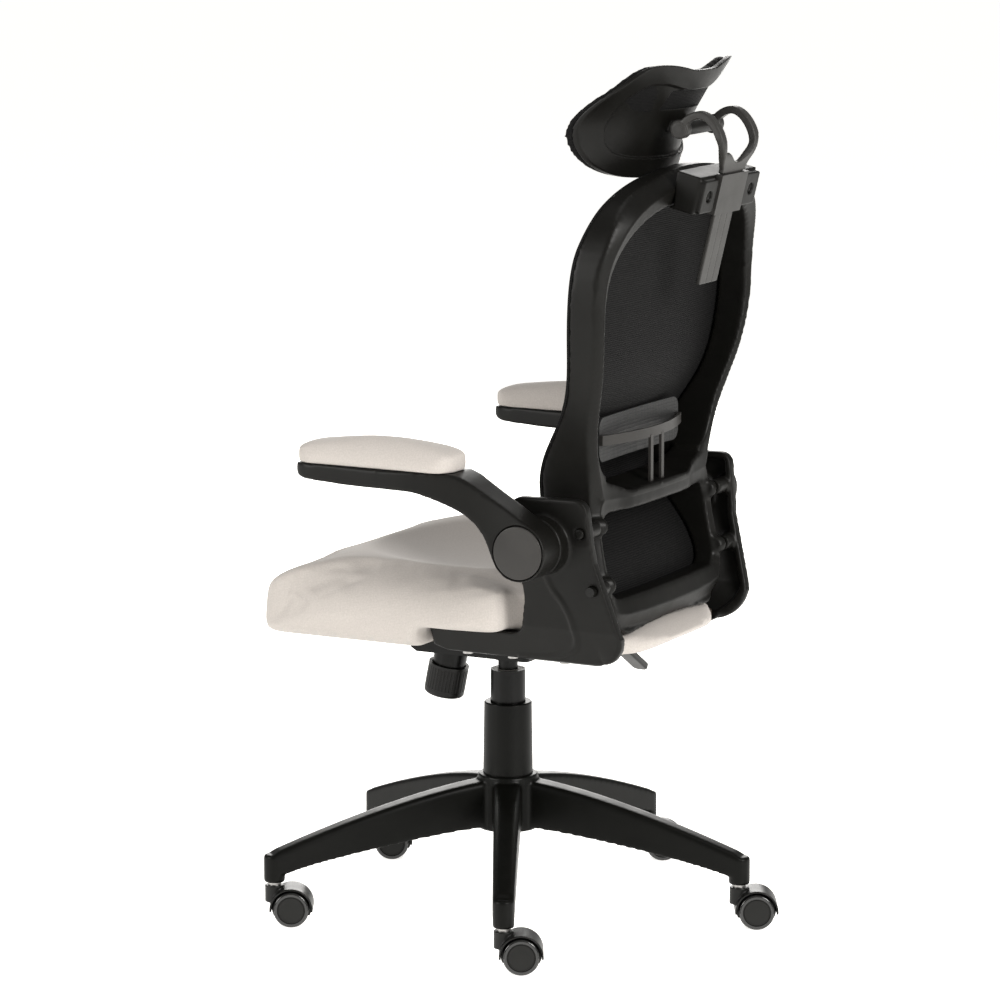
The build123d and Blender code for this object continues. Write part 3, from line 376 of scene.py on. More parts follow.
@dataclass(frozen=True)
class WovenCloth(Finish):
    """Upholstery cloth with a fine plain weave and heathered yarn."""

    light: tuple[float, float, float] = (0.560, 0.522, 0.490)
    dark: tuple[float, float, float] = (0.420, 0.388, 0.362)
    pitch: float = 0.0021
    thread_height: float = 0.00045

    def make(self) -> bpy.types.Material:
        """Build the material.

        Returns:
            The cloth, woven whichever way the surface faces, with a soft sheen.
        """
        graph = Graph(self.name)
        weave = graph.wrapped_weave(self.pitch)
        heather = graph.noise(520.0, 4.0)
        threads = graph.maths("MULTIPLY", weave, 0.45)
        tone = graph.maths("ADD", threads, graph.maths("MULTIPLY", heather, 0.55))
        shade = graph.maths("ADD", tone, graph.span(graph.noise(9.0, 3.0), -0.06, 0.06))
        graph.feed("Base Color", graph.ramp(shade, self.dark, self.light, 0.22, 0.66))
        graph.feed("Roughness", graph.span(heather, 0.82, 0.96))
        graph.bump(tone, self.thread_height, 0.55)
        graph.put(Specular_IOR_Level=0.2, Sheen_Weight=0.18, Sheen_Roughness=0.45)
        return graph.material


@dataclass(frozen=True)
class OpenMesh(Finish):
    """Black spacer mesh: rows of knitted ribs with small openings between them."""

    yarn: tuple[float, float, float] = (0.0125, 0.0120, 0.0118)
    gap: tuple[float, float, float] = (0.0015, 0.0015, 0.0016)
    row: float = 0.0030
    column: float = 0.0022

    def make(self) -> bpy.types.Material:
        """Build the material.

        Returns:
            The mesh, its ribs running across the back.
        """
        graph = Graph(self.name)
        across = graph.axis_waves(self.row)[2]
        along = graph.axis_waves(self.column)[0]
        knit = graph.maths("MULTIPLY", across, graph.span(along, 0.55, 1.0))
        loose = graph.maths("ADD", knit, graph.span(graph.noise(240.0, 3.0), -0.14, 0.14))
        graph.feed("Base Color", graph.ramp(loose, self.gap, self.yarn, 0.25, 0.62))
        graph.feed("Roughness", graph.span(loose, 0.75, 0.5))
        graph.bump(loose, 0.0009, 0.9)
        graph.put(Specular_IOR_Level=0.12, Sheen_Weight=0.012, Sheen_Roughness=0.4)
        return graph.material


@dataclass(frozen=True)
class PiercedPad(Finish):
    """Black moulded pad pierced by a close grid of small holes."""

    face: tuple[float, float, float] = (0.016, 0.016, 0.016)
    hole: tuple[float, float, float] = (0.0015, 0.0015, 0.0015)
    pitch: float = 0.0048

    def make(self) -> bpy.types.Material:
        """Build the material.

        Returns:
            The pad, with its grid of holes.
        """
        graph = Graph(self.name)
        waves = graph.axis_waves(self.pitch)
        dots = graph.maths("MULTIPLY", waves[0], waves[2])
        graph.feed("Base Color", graph.ramp(dots, self.face, self.hole, 0.40, 0.50))
        graph.feed("Roughness", graph.span(graph.noise(70.0, 3.0), 0.45, 0.6))
        graph.bump(graph.maths("MULTIPLY", dots, -1.0), 0.0012, 0.9)
        return graph.material


@dataclass(frozen=True)
class StudioFloor(Finish):
    """Plain pale floor with the faintest gloss."""

    colour: tuple[float, float, float] = (0.93, 0.925, 0.905)

    def make(self) -> bpy.types.Material:
        """Build the material.

        Returns:
            The floor's paint.
        """
        graph = Graph(self.name)
        low = [c * 0.995 for c in self.colour]
        graph.feed("Base Color", graph.ramp(graph.noise(0.6, 2.0), low, self.colour))
        graph.feed("Roughness", graph.span(graph.noise(2.0, 2.0), 0.42, 0.5))
        graph.put(Specular_IOR_Level=0.2, Emission_Strength=0.78)
        graph.shader.inputs["Emission Color"].default_value = (1.0, 0.992, 0.965, 1.0)
        return graph.material


SHELL_PLASTIC = MouldedPlastic("shell_plastic", Slot.PLASTIC)
# A darker copy of the black moulded plastic: its lowered base colour is painted shade on the base star and
# the column cover under the seat.
SHADE_PAINTED_BASE_PLASTIC = MouldedPlastic(
    "base_plastic", Slot.PLASTIC, colour=(0.0024, 0.0025, 0.0020), rough=0.36, shine=0.12,
)
# A lighter copy of the black moulded plastic: its raised base colour is a painted highlight on the hub caps
# and the lumbar brace.
HIGHLIGHT_PAINTED_RIM_PLASTIC = MouldedPlastic(
    "rim_plastic", Slot.PLASTIC, colour=(0.026, 0.0245, 0.0230), rough=0.36, grain_height=0.00006, shine=0.25,
)
# A lighter copy of the black moulded plastic: its raised base colour is a painted highlight on the headrest
# post, its clamp and the pin caps.
HIGHLIGHT_PAINTED_POST_PLASTIC = MouldedPlastic(
    "post_plastic", Slot.PLASTIC, colour=(0.027, 0.026, 0.0245), rough=0.38, grain_height=0.00006, shine=0.25,
)
HOOD_PLASTIC = MouldedPlastic(
    "hood_plastic", Slot.PLASTIC, colour=(0.0045, 0.0045, 0.0040), rough=0.36, shine=0.24,
)
TREAD_PLASTIC = MouldedPlastic(
    "tread_plastic", Slot.WHEEL, colour=(0.0080, 0.0080, 0.0072), rough=0.48, shine=0.25,
)
WHEEL_RING = MouldedPlastic(
    "wheel_ring", Slot.WHEEL, colour=(0.012, 0.012, 0.012), rough=0.17, grain_height=0.00002, shine=0.7,
)
BUSH_PLASTIC = MouldedPlastic("bush_nylon", Slot.BUSH, colour=(0.55, 0.54, 0.50), rough=0.5)
BLACK_STEEL = PaintedSteel("black_powder_coat", Slot.PAINTED)
BARE_STEEL = BareSteel("drawn_steel", Slot.BARE)
SEAT_BOARD = PressedBoard("pressed_board", Slot.BOARD)
SEAT_CLOTH = WovenCloth("seat_cloth", Slot.FABRIC)
PAD_CLOTH = WovenCloth("pad_cloth", Slot.FABRIC, pitch=0.0018)
BACK_MESH = OpenMesh("back_mesh_cloth", Slot.MESH)
HEAD_MESH = OpenMesh("head_mesh_cloth", Slot.MESH, row=0.0022, column=0.0018)
LUMBAR_PAD = PiercedPad("lumbar_pad_face", Slot.PLASTIC)
FLOOR_PAINT = StudioFloor("studio_floor", Slot.PLASTIC)


# ---------------------------------------------------------------- hand tools
def deselect_all() -> None:
    """Leave nothing selected and nothing active."""
    for item in bpy.context.view_layer.objects:
        item.select_set(False)
    bpy.context.view_layer.objects.active = None


def take(piece: bpy.types.Object) -> None:
    """Make one piece the only selected and the active one."""
    deselect_all()
    piece.select_set(True)
    bpy.context.view_layer.objects.active = piece


@contextmanager
def editing(piece: bpy.types.Object, mode: str = "FACE") -> Iterator[None]:
    """Edit mode on one piece.

    Args:
        piece: The piece to edit.
        mode: What is selected: VERT, EDGE or FACE.
    """
    take(piece)
    bpy.ops.object.mode_set(mode="EDIT")
    bpy.ops.mesh.select_mode(type=mode)
    bpy.ops.mesh.select_all(action="DESELECT")
    yield
    bpy.ops.object.mode_set(mode="OBJECT")


def pick_faces(piece: bpy.types.Object, wanted: Callable[[bmesh.types.BMFace], bool]) -> int:
    """Select the faces of the edited piece that a test accepts.

    Args:
        piece: The piece in edit mode.
        wanted: The test, given a face.

    Returns:
        How many faces are selected.
    """
    shape = bmesh.from_edit_mesh(piece.data)
    count = 0
    for face in shape.faces:
        chosen = bool(wanted(face))
        face.select_set(chosen)
        count += chosen
    shape.select_flush_mode()
    bmesh.update_edit_mesh(piece.data)
    return count


def pick_edges(piece: bpy.types.Object, wanted: Callable[[bmesh.types.BMEdge], bool]) -> int:
    """Select the edges of the edited piece that a test accepts.

    Args:
        piece: The piece in edit mode.
        wanted: The test, given an edge.

    Returns:
        How many edges are selected.
    """
    shape = bmesh.from_edit_mesh(piece.data)
    count = 0
    for edge in shape.edges:
        chosen = bool(wanted(edge))
        edge.select_set(chosen)
        count += chosen
    bmesh.update_edit_mesh(piece.data)
    return count


def apply_modifier(piece: bpy.types.Object, kind: str, **settings: object) -> None:
    """Add a modifier and apply it at once.

    Args:
        piece: The piece.
        kind: The modifier's type.
        settings: Its settings.
    """
    take(piece)
    modifier = piece.modifiers.new(kind.lower(), kind)
    for name, value in settings.items():
        setattr(modifier, name, value)
    bpy.ops.object.modifier_apply(modifier=modifier.name)


def settle(piece: bpy.types.Object) -> None:
    """Move the piece's place into its mesh, so that its object sits at the origin."""
    piece.data.transform(piece.matrix_world)
    piece.matrix_world = Matrix.Identity(4)


def smooth(piece: bpy.types.Object, angle: float = 35.0) -> None:
    """Shade smooth, with edges above an angle kept sharp."""
    take(piece)
    bpy.ops.object.shade_smooth_by_angle(angle=math.radians(angle))


def copied(piece: bpy.types.Object, name: str, move: Matrix) -> bpy.types.Object:
    """A copy with its own mesh, moved.

    Args:
        piece: The piece to copy.
        name: The copy's name.
        move: The move, applied to the mesh.

    Returns:
        The copy.
    """
    mesh = piece.data.copy()
    mesh.transform(move)
    if move.determinant() < 0:
        mesh.flip_normals()
    twin = bpy.data.objects.new(name, mesh)
    bpy.context.scene.collection.objects.link(twin)
    return twin


def solid_copy(node: bpy.types.Object, name: str) -> bpy.types.Object:
    """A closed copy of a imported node, its loose triangles joined.

    Args:
        node: The node's object, left as it is.
        name: The copy's name.

    Returns:
        The copy.
    """
    piece = bpy.data.objects.new(name, node.data.copy())
    bpy.context.scene.collection.objects.link(piece)
    piece.data.materials.clear()
    with editing(piece, "VERT"):
        bpy.ops.mesh.select_all(action="SELECT")
        bpy.ops.mesh.remove_doubles(threshold=0.00002)
        bpy.ops.mesh.customdata_custom_splitnormals_clear()
    return piece


def moulded_copy(node: bpy.types.Object, name: str, voxel: float, passes: int) -> bpy.types.Object:
    """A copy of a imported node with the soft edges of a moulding.

    Args:
        node: The node's object, left as it is.
        name: The copy's name.
        voxel: Grid of the remesh, in metres.
        passes: How many times its points are eased towards their neighbours.

    Returns:
        The soft-edged copy.
    """
    piece = solid_copy(node, name)
    apply_modifier(piece, "REMESH", mode="VOXEL", voxel_size=voxel)
    if passes:
        apply_modifier(piece, "SMOOTH", factor=0.5, iterations=passes)
    take(piece)
    bpy.ops.object.shade_smooth()
    return piece


def button(name: str, place: Sequence[float], radius: float, height: float, out: Vector) -> bpy.types.Object:
    """A low domed button on a face.

    Args:
        name: The button's name.
        place: The middle of its foot.
        radius: Its radius.
        height: How far it stands out.
        out: The way it faces.

    Returns:
        The button.
    """
    deselect_all()
    bpy.ops.mesh.primitive_cylinder_add(vertices=40, radius=radius, depth=2 * height)
    piece = bpy.context.active_object
    piece.name = name
    with editing(piece):
        pick_faces(piece, lambda f: f.normal.z > 0.9)
        bpy.ops.mesh.inset(thickness=radius * 0.22, depth=height * 0.22)
        bpy.ops.mesh.inset(thickness=radius * 0.30, depth=height * 0.12)
    with editing(piece, "EDGE"):
        pick_edges(piece, lambda e: all(v.co.z > height * 0.9 for v in e.verts))
        bpy.ops.mesh.bevel(offset=radius * 0.10, segments=3, affect="EDGES")
    piece.data.transform(Vector((0, 0, 1)).rotation_difference(out).to_matrix().to_4x4())
    piece.data.transform(Matrix.Translation(Vector(place)))
    smooth(piece, 40.0)
    return piece


def blend_between(points: Sequence[Sequence[float]], at: float) -> float:
    """Read a table of (place, value) rows at a place, in straight runs between rows.

    Args:
        points: Rows in rising order of place.
        at: The place.

    Returns:
        The value there.
    """
    if at <= points[0][0]:
        return points[0][1]
    for (start, low), (end, high) in zip(points, points[1:]):
        if at <= end:
            share = (at - start) / (end - start)
            return low + (high - low) * share
    return points[-1][1]


def flowing(points: Sequence[Sequence[float]], steps: int = 10) -> list[Vector]:
    """A smooth line through points.

    Args:
        points: The points, of two or three numbers.
        steps: Points laid between each pair.

    Returns:
        The line's points.
    """
    line: list[Vector] = []
    places = [Vector(p) for p in points]
    for k in range(len(places) - 1):
        before = places[max(k - 1, 0)]
        start, end = places[k], places[k + 1]
        after = places[min(k + 2, len(places) - 1)]
        for step in range(steps):
            t = step / steps
            square = 2 * before - 5 * start + 4 * end - after
            cube = 3 * start - before - 3 * end + after
            line.append(0.5 * (2 * start + (end - before) * t + square * t ** 2 + cube * t ** 3))
    line.append(places[-1])
    return line


def tree_of(points: Sequence[Vector]) -> KDTree:
    """A search tree over points."""
    tree = KDTree(len(points))
    for k, point in enumerate(points):
        tree.insert(point.to_3d(), k)
    tree.balance()
    return tree


def eased(value: float) -> float:
    """Clamp to 0..1 with soft ends."""
    value = min(max(value, 0.0), 1.0)
    return value * value * (3 - 2 * value)


# ---------------------------------------------------------------- workshop
class Workshop:
    """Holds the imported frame, hands out finishes and books pieces in."""

    def __init__(self, frame: dict) -> None:
        """Start with the loaded frame.
        """
        self.nodes: dict[str, bpy.types.Object] = frame["nodes"]
        self.pots: dict[str, bpy.types.Material] = {}

    def material(self, finish: Finish) -> bpy.types.Material:
        """The finish's material, made on first use."""
        if finish.name not in self.pots:
            self.pots[finish.name] = finish.make()
        return self.pots[finish.name]

    def paint(self, finish: Finish, *names: str) -> None:
        """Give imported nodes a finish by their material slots.

        Args:
            finish: The finish.
            names: The nodes.
        """
        for name in names:
            node = self.nodes[name]
            if not node.material_slots:
                node.data.materials.append(None)
            for place in node.material_slots:
                place.link = "OBJECT"
                place.material = self.material(finish)
            log.info("node %s: %s", name, finish.name)

    def book(self, piece: bpy.types.Object, body: str, finish: Finish, *replaced: str) -> bpy.types.Object:
        """Dress a new piece and set it on its body.

        Args:
            piece: The piece, in place.
            body: The body it moves with.
            finish: Its finish.
            replaced: The nodes it stands for.

        Returns:
            The piece.
        """
        if not piece.data.materials:
            piece.data.materials.append(self.material(finish))
        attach(piece, body)
        if replaced:
            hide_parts(*replaced)
        log.info("piece %s on %s: %s", piece.name, body, finish.name)
        return piece


# ---------------------------------------------------------------- studio
@dataclass
class Studio:
    """Camera, floor and soft light."""

    shop: Workshop
    camera_place: tuple[float, float, float] = (5.340, 2.780, 1.6247)
    camera_tilt: float = 80.24
    camera_turn: float = 117.61
    lens: float = 155.8
    floor_half: float = 40.0

    def build(self) -> None:
        """Set up the whole studio."""
        self.camera()
        self.floor()
        self.world()
        self.lamp("rear_light", (1.6, 4.4, 2.6), (0, 0.1, 0.7), 1.8, 250.0)
        self.lamp("front_light", (3.6, -2.8, 1.9), (0, 0, 0.6), 1.8, 120.0)
        self.lamp("top_light", (0.2, 0.4, 4.0), (0, 0, 0.6), 2.0, 22.0)
        self.lamp("sweep_light", (-4.2, -2.2, 1.6), (0, 0, 0.7), 2.6, 110.0)

    def camera(self) -> None:
        """The camera, with depth of field off."""
        data = bpy.data.cameras.new("camera")
        data.lens = self.lens
        data.sensor_width = 36.0
        data.dof.use_dof = False
        data.clip_end = 200.0
        camera = bpy.data.objects.new("camera", data)
        camera.location = self.camera_place
        camera.rotation_euler = (math.radians(self.camera_tilt), 0.0, math.radians(self.camera_turn))
        bpy.context.scene.collection.objects.link(camera)
        bpy.context.scene.camera = camera

    def floor(self) -> None:
        """A wide plain floor."""
        deselect_all()
        bpy.ops.mesh.primitive_plane_add(size=2 * self.floor_half)
        floor = bpy.context.active_object
        floor.name = "floor"
        floor.data.materials.append(self.shop.material(FLOOR_PAINT))

    def world(self) -> None:
        """Even warm-white light from all round."""
        world = bpy.data.worlds.new("studio_world")
        world.use_nodes = True
        shade = world.node_tree.nodes["Background"]
        shade.inputs["Color"].default_value = (1.0, 0.992, 0.972, 1.0)
        shade.inputs["Strength"].default_value = 0.26
        bpy.context.scene.world = world
        bpy.context.scene.view_settings.view_transform = "Standard"

    def lamp(self, name: str, place: Sequence[float], aim: Sequence[float],
             size: float, power: float) -> None:
        """A square soft box.

        Args:
            name: The lamp's name.
            place: Where it stands.
            aim: What it points at.
            size: Its side, in metres.
            power: Watts.
        """
        data = bpy.data.lights.new(name, "AREA")
        data.size = size
        data.energy = power
        data.color = (1.0, 0.985, 0.96)
        lamp = bpy.data.objects.new(name, data)
        lamp.location = place
        lamp.rotation_euler = (Vector(aim) - Vector(place)).to_track_quat("-Z", "Y").to_euler()
        lamp.visible_camera = False
        bpy.context.scene.collection.objects.link(lamp)


# ---------------------------------------------------------------- sub-assemblies
@dataclass
class SubAssembly:
    """What every sub-assembly shares."""

    shop: Workshop

    def build(self) -> None:
        """Build and dress the sub-assembly."""
        raise NotImplementedError


@dataclass
class StarBase(SubAssembly):
    """Five-legged base with its casters."""

    voxel: float = 0.0022
    ease: int = 12
    wheel_radius: float = 25 * MM
    wheel_width: float = 20 * MM
    ring_width: float = 3.2 * MM
    ring_depth: float = 1.6 * MM
    caster_count: int = 5

    def build(self) -> None:
        """Legs, hoods, pins and wheels."""
        star = moulded_copy(self.shop.nodes["base_star"], "base_star_soft", self.voxel, self.ease)
        # The star gets the darker plastic, whose colour is painted shade.
        self.shop.book(star, "root", SHADE_PAINTED_BASE_PLASTIC, "base_star")
        pattern = self.wheel_pattern()
        for k in range(1, self.caster_count + 1):
            hood = moulded_copy(self.shop.nodes[f"caster_hood_{k}"], f"caster_hood_soft_{k}", 0.0009, 3)
            self.shop.book(hood, f"caster_{k}", HOOD_PLASTIC, f"caster_hood_{k}")
            self.shop.paint(BARE_STEEL, f"caster_pins_{k}")
            for side in Side:
                self.wheel(pattern, k, side)
        bpy.data.objects.remove(pattern)

    def wheel_pattern(self) -> bpy.types.Object:
        """One wheel about the origin: its axle along X, its outer face towards +X.

        Returns:
            The wheel that every wheel is copied from.
        """
        deselect_all()
        bpy.ops.mesh.primitive_cylinder_add(vertices=64, radius=self.wheel_radius, depth=self.wheel_width,
                                            rotation=(0, math.radians(90), 0))
        wheel = bpy.context.active_object
        settle(wheel)
        wheel.data.materials.append(self.shop.material(TREAD_PLASTIC))
        wheel.data.materials.append(self.shop.material(WHEEL_RING))
        outer = self.wheel_width / 2
        with editing(wheel):
            pick_faces(wheel, lambda f: f.normal.x > 0.9)
            bpy.ops.mesh.inset(thickness=1.6 * MM)
            bpy.ops.mesh.inset(thickness=0.4 * MM, depth=0.9 * MM)
            bpy.ops.mesh.inset(thickness=self.ring_width)
            bpy.ops.mesh.inset(thickness=0.5 * MM, depth=-self.ring_depth)
            bpy.ops.mesh.inset(thickness=1.0 * MM)
            bpy.ops.mesh.inset(thickness=0.5 * MM, depth=1.0 * MM)
            bpy.ops.mesh.inset(thickness=7.0 * MM)
            bpy.ops.mesh.inset(thickness=3.0 * MM, depth=0.35 * MM)
            pick_faces(wheel, lambda f: f.normal.x < -0.9)
            bpy.ops.mesh.inset(thickness=4.0 * MM)
            bpy.ops.mesh.inset(thickness=1.0 * MM, depth=-2.5 * MM)
        with editing(wheel, "EDGE"):
            pick_edges(wheel, lambda e: all(abs(v.co.yz.length - self.wheel_radius) < 1e-5 for v in e.verts)
                       and abs(e.verts[0].co.x - e.verts[1].co.x) < 1e-6)
            bpy.ops.mesh.bevel(offset=2.6 * MM, segments=4, affect="EDGES")
        for face in wheel.data.polygons:
            inwards = self.wheel_radius - face.center.yz.length
            if face.center.x > outer - 2 * MM and 1.2 * MM < inwards < 6.2 * MM:
                face.material_index = 1
        return wheel

    def wheel(self, pattern: bpy.types.Object, k: int, side: Side) -> None:
        """Copy the pattern to one wheel's place.

        Args:
            pattern: The wheel to copy.
            k: The caster's number.
            side: Which of its two wheels.
        """
        node = f"wheel_{k}_{side.word}"
        low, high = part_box(node)
        centre = (low + high) / 2
        twin_low, twin_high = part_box(f"wheel_{k}_{Side(-side.value).word}")
        outward = centre - (twin_low + twin_high) / 2
        turn = Matrix.Rotation(math.atan2(outward.y, outward.x), 4, "Z")
        place = Matrix.Translation(centre) @ turn
        wheel = copied(pattern, f"wheel_soft_{k}_{side.word}", place)
        smooth(wheel, 30.0)
        self.shop.book(wheel, f"wheel_{k}_{side.word}", TREAD_PLASTIC, node)


@dataclass
class GasColumn(SubAssembly):
    """Stand tube, cover, cylinder and rod."""

    def build(self) -> None:
        """Dress the column's nodes, which have their right shape already."""
        self.shop.paint(BLACK_STEEL, "stand_tube", "gas_cylinder")
        # The column cover gets the darker plastic, whose colour is painted shade.
        self.shop.paint(SHADE_PAINTED_BASE_PLASTIC, "column_cover")
        self.shop.paint(BUSH_PLASTIC, "guide_bush")
        self.shop.paint(BARE_STEEL, "thrust_bearing", "piston_rod")


@dataclass
class TiltMechanism(SubAssembly):
    """Tilt housing with its tension knob and the lift lever."""

    def build(self) -> None:
        """Dress the housing, knob and lever."""
        self.shop.paint(BLACK_STEEL, "tilt_housing", "seat_plate", "lift_lever")
        self.shop.paint(BARE_STEEL, "tilt_axle", "tilt_spring", "tension_screw")
        self.shop.paint(BUSH_PLASTIC, "lever_bush")
        self.shop.paint(HOOD_PLASTIC, "tension_knob")
        paddle = moulded_copy(self.shop.nodes["lever_paddle"], "lever_paddle_soft", 0.0010, 4)
        self.shop.book(paddle, "lever", HOOD_PLASTIC, "lever_paddle")


@dataclass
class Seat(SubAssembly):
    """Cushion on its board, with the bolts that hold it."""

    voxel: float = 0.006
    ease: int = 12
    pressure: float = 3.0
    swell_cap: float = 9 * MM
    tacked_below: float = 428 * MM
    foot_edge: tuple[float, float, float] = (168 * MM, -30 * MM, 446 * MM)
    panel_edge: tuple[float, float] = (186 * MM, 96 * MM)

    def build(self) -> None:
        """Cushion, board and bolts."""
        self.shop.paint(SEAT_BOARD, "seat_board")
        self.shop.paint(BARE_STEEL, "seat_bolts")
        cushion = self.cushion()
        self.shop.book(cushion, "seat", SEAT_CLOTH, "seat_cushion")

    def cushion(self) -> bpy.types.Object:
        """The padded seat, blown up from a soft-edged copy of its solid.

        Returns:
            The cushion.
        """
        cushion = moulded_copy(self.shop.nodes["seat_cushion"], "seat_pad", self.voxel, self.ease)
        inflate(cushion, self.pressure, self.swell_cap, pinned=self.held)
        round_off(cushion)
        return cushion

    def held(self, point: Vector) -> bool:
        """True where the cushion is tacked to its board or caught by a bracket."""
        foot_x, foot_y, foot_top = self.foot_edge
        panel_x, panel_y = self.panel_edge
        by_foot = abs(point.x) > foot_x and point.y > foot_y and point.z < foot_top
        by_panel = abs(point.x) > panel_x and point.y > panel_y
        return point.z < self.tacked_below or by_foot or by_panel


def round_off(piece: bpy.types.Object) -> None:
    """Divide a piece's faces once and shade it smooth."""
    apply_modifier(piece, "SUBSURF", levels=1, render_levels=1)
    take(piece)
    bpy.ops.object.shade_smooth()


def inflate(piece: bpy.types.Object, pressure: float, cap: float, pinned: Callable[[Vector], bool]) -> None:
    """Blow a closed piece up as cloth over foam, then cap how far each point moved.

    Args:
        piece: The closed piece.
        pressure: Pressure inside it.
        cap: The furthest a point may move, in metres.
        pinned: True for the points that stay.
    """
    take(piece)
    rest = [v.co.copy() for v in piece.data.vertices]
    group = piece.vertex_groups.new(name="held")
    group.add([k for k, place in enumerate(rest) if pinned(place)], 1.0, "ADD")
    cloth = piece.modifiers.new("cloth", "CLOTH")
    cloth.settings.use_pressure = True
    cloth.settings.uniform_pressure_force = pressure
    cloth.settings.effector_weights.gravity = 0.0
    cloth.settings.vertex_group_mass = "held"
    cloth.settings.quality = 5
    cloth.collision_settings.use_collision = False
    cloth.point_cache.frame_start = 1
    cloth.point_cache.frame_end = CLOTH_FRAMES
    for frame in range(1, CLOTH_FRAMES + 1):
        bpy.context.scene.frame_set(frame)
    bpy.ops.object.modifier_apply(modifier=cloth.name)
    bpy.context.scene.frame_set(1)
    for vertex, place in zip(piece.data.vertices, rest):
        move = vertex.co - place
        if move.length > cap:
            vertex.co = place + move.normalized() * cap
    piece.vertex_groups.clear()


@dataclass
class SideBrackets(SubAssembly):
    """The two brackets that carry the armrests and the back."""

    voxel: float = 0.0020
    ease: int = 11
    ridge_height: float = 2.6 * MM
    ridge_width: float = 7.0 * MM
    corner: tuple[float, float] = (238.0, 452.0)
    corner_radius: float = 42.5
    corner_start: float = -1.36
    chamfer: float = 50.4
    chamfer_slope: float = 1.2
    caps: tuple[tuple[float, float, float], ...] = ((236.6, 231, 597), (226.2, 245, 518))
    cap_radius: float = 6.6 * MM
    cap_height: float = 2.6 * MM
    ridge_top: float = 560 * MM
    ridge: tuple[tuple[float, float], ...] = (
        (172, 545), (183, 518), (197, 499), (207, 479), (212, 461), (213, 446), (208, 434), (196, 425),
        (177, 417), (150, 413), (120, 411),
    )

    def build(self) -> None:
        """Both brackets, their fixings and the pivots they hold."""
        for side in Side:
            node = f"side_bracket_{side.word}"
            name = f"side_bracket_soft_{side.word}"
            piece = moulded_copy(self.shop.nodes[node], name, self.voxel, self.ease)
            self.raise_ridge(piece, side)
            self.round_corner(piece)
            self.shop.book(piece, "seat", SHELL_PLASTIC, node)
            self.shop.paint(BARE_STEEL, f"arm_pivot_{side.word}")
            for k, (x, y, z) in enumerate(self.caps, 1):
                place = (side.value * x * MM, y * MM, z * MM)
                out = Vector((side.value, 0, 0))
                dome = button(f"screw_cap_{side.word}_{k}", place, self.cap_radius, self.cap_height, out)
                self.shop.book(dome, "seat", SHELL_PLASTIC)
        self.shop.paint(HOOD_PLASTIC, "back_screws")

    def round_corner(self, piece: bpy.types.Object) -> None:
        """Swell the chamfered lower rear corner out to a round one."""
        middle_y, middle_z = self.corner
        for vertex in piece.data.vertices:
            y, z = vertex.co.y / MM - middle_y, vertex.co.z / MM - middle_z
            turn = math.atan2(z, y)
            if not self.corner_start < turn < 0.0:
                continue
            edge = self.chamfer / (self.chamfer_slope * math.cos(turn) - math.sin(turn))
            reach = math.hypot(y, z)
            near_edge = min(reach / edge, 1.05) ** 2
            swell = 1 + max(self.corner_radius / edge - 1, 0.0) * near_edge
            vertex.co.y = (middle_y + y * swell) * MM
            vertex.co.z = (middle_z + z * swell) * MM

    def raise_ridge(self, piece: bpy.types.Object, side: Side) -> None:
        """Raise the long ridge of a bracket's outer face.

        Args:
            piece: The bracket.
            side: Which side it is on.
        """
        line = flowing([(y * MM, z * MM) for y, z in self.ridge], 40)
        tree = tree_of(line)
        for vertex in piece.data.vertices:
            if vertex.normal.x * side.value < 0.3 or vertex.co.z > self.ridge_top:
                continue
            _, _, away = tree.find((vertex.co.y, vertex.co.z, 0.0))
            if away < self.ridge_width:
                lift = self.ridge_height * eased(1 - away / self.ridge_width)
                vertex.co.x += side.value * lift


@dataclass
class Armrests(SubAssembly):
    """Flip-up arms with padded tops and hub caps."""

    voxel: float = 0.0020
    ease: int = 10
    pad_voxel: float = 0.0035
    pad_ease: int = 10
    pressure: float = 4.0
    swell_cap: float = 4 * MM
    crown_drop: float = 12 * MM
    crown_bend: float = 2.6
    glued_below: float = 681 * MM

    def build(self) -> None:
        """Both arms."""
        for side in Side:
            word = side.word
            node = self.shop.nodes[f"armrest_{word}"]
            arm = moulded_copy(node, f"armrest_soft_{word}", self.voxel, self.ease)
            self.shop.book(arm, f"arm_{word}", SHELL_PLASTIC, f"armrest_{word}")
            # The hub cap gets the lighter plastic, whose colour is a painted highlight.
            self.shop.paint(HIGHLIGHT_PAINTED_RIM_PLASTIC, f"hub_cap_{word}")
            node = self.shop.nodes[f"arm_pad_{word}"]
            pad = moulded_copy(node, f"arm_cushion_{word}", self.pad_voxel, self.pad_ease)
            self.crown(pad)
            inflate(pad, self.pressure, self.swell_cap, pinned=lambda point: point.z < self.glued_below)
            round_off(pad)
            self.shop.book(pad, f"arm_{word}", PAD_CLOTH, f"arm_pad_{word}")

    def crown(self, pad: bpy.types.Object) -> None:
        """Round the pad's top over from side to side."""
        low, high = (Vector(corner) for corner in (pad.bound_box[0], pad.bound_box[6]))
        middle, half = (low.x + high.x) / 2, (high.x - low.x) / 2
        for vertex in pad.data.vertices:
            climb = (vertex.co.z - low.z) / (high.z - low.z)
            outwards = min(abs(vertex.co.x - middle) / half, 1.0)
            vertex.co.z -= self.crown_drop * climb * outwards ** self.crown_bend


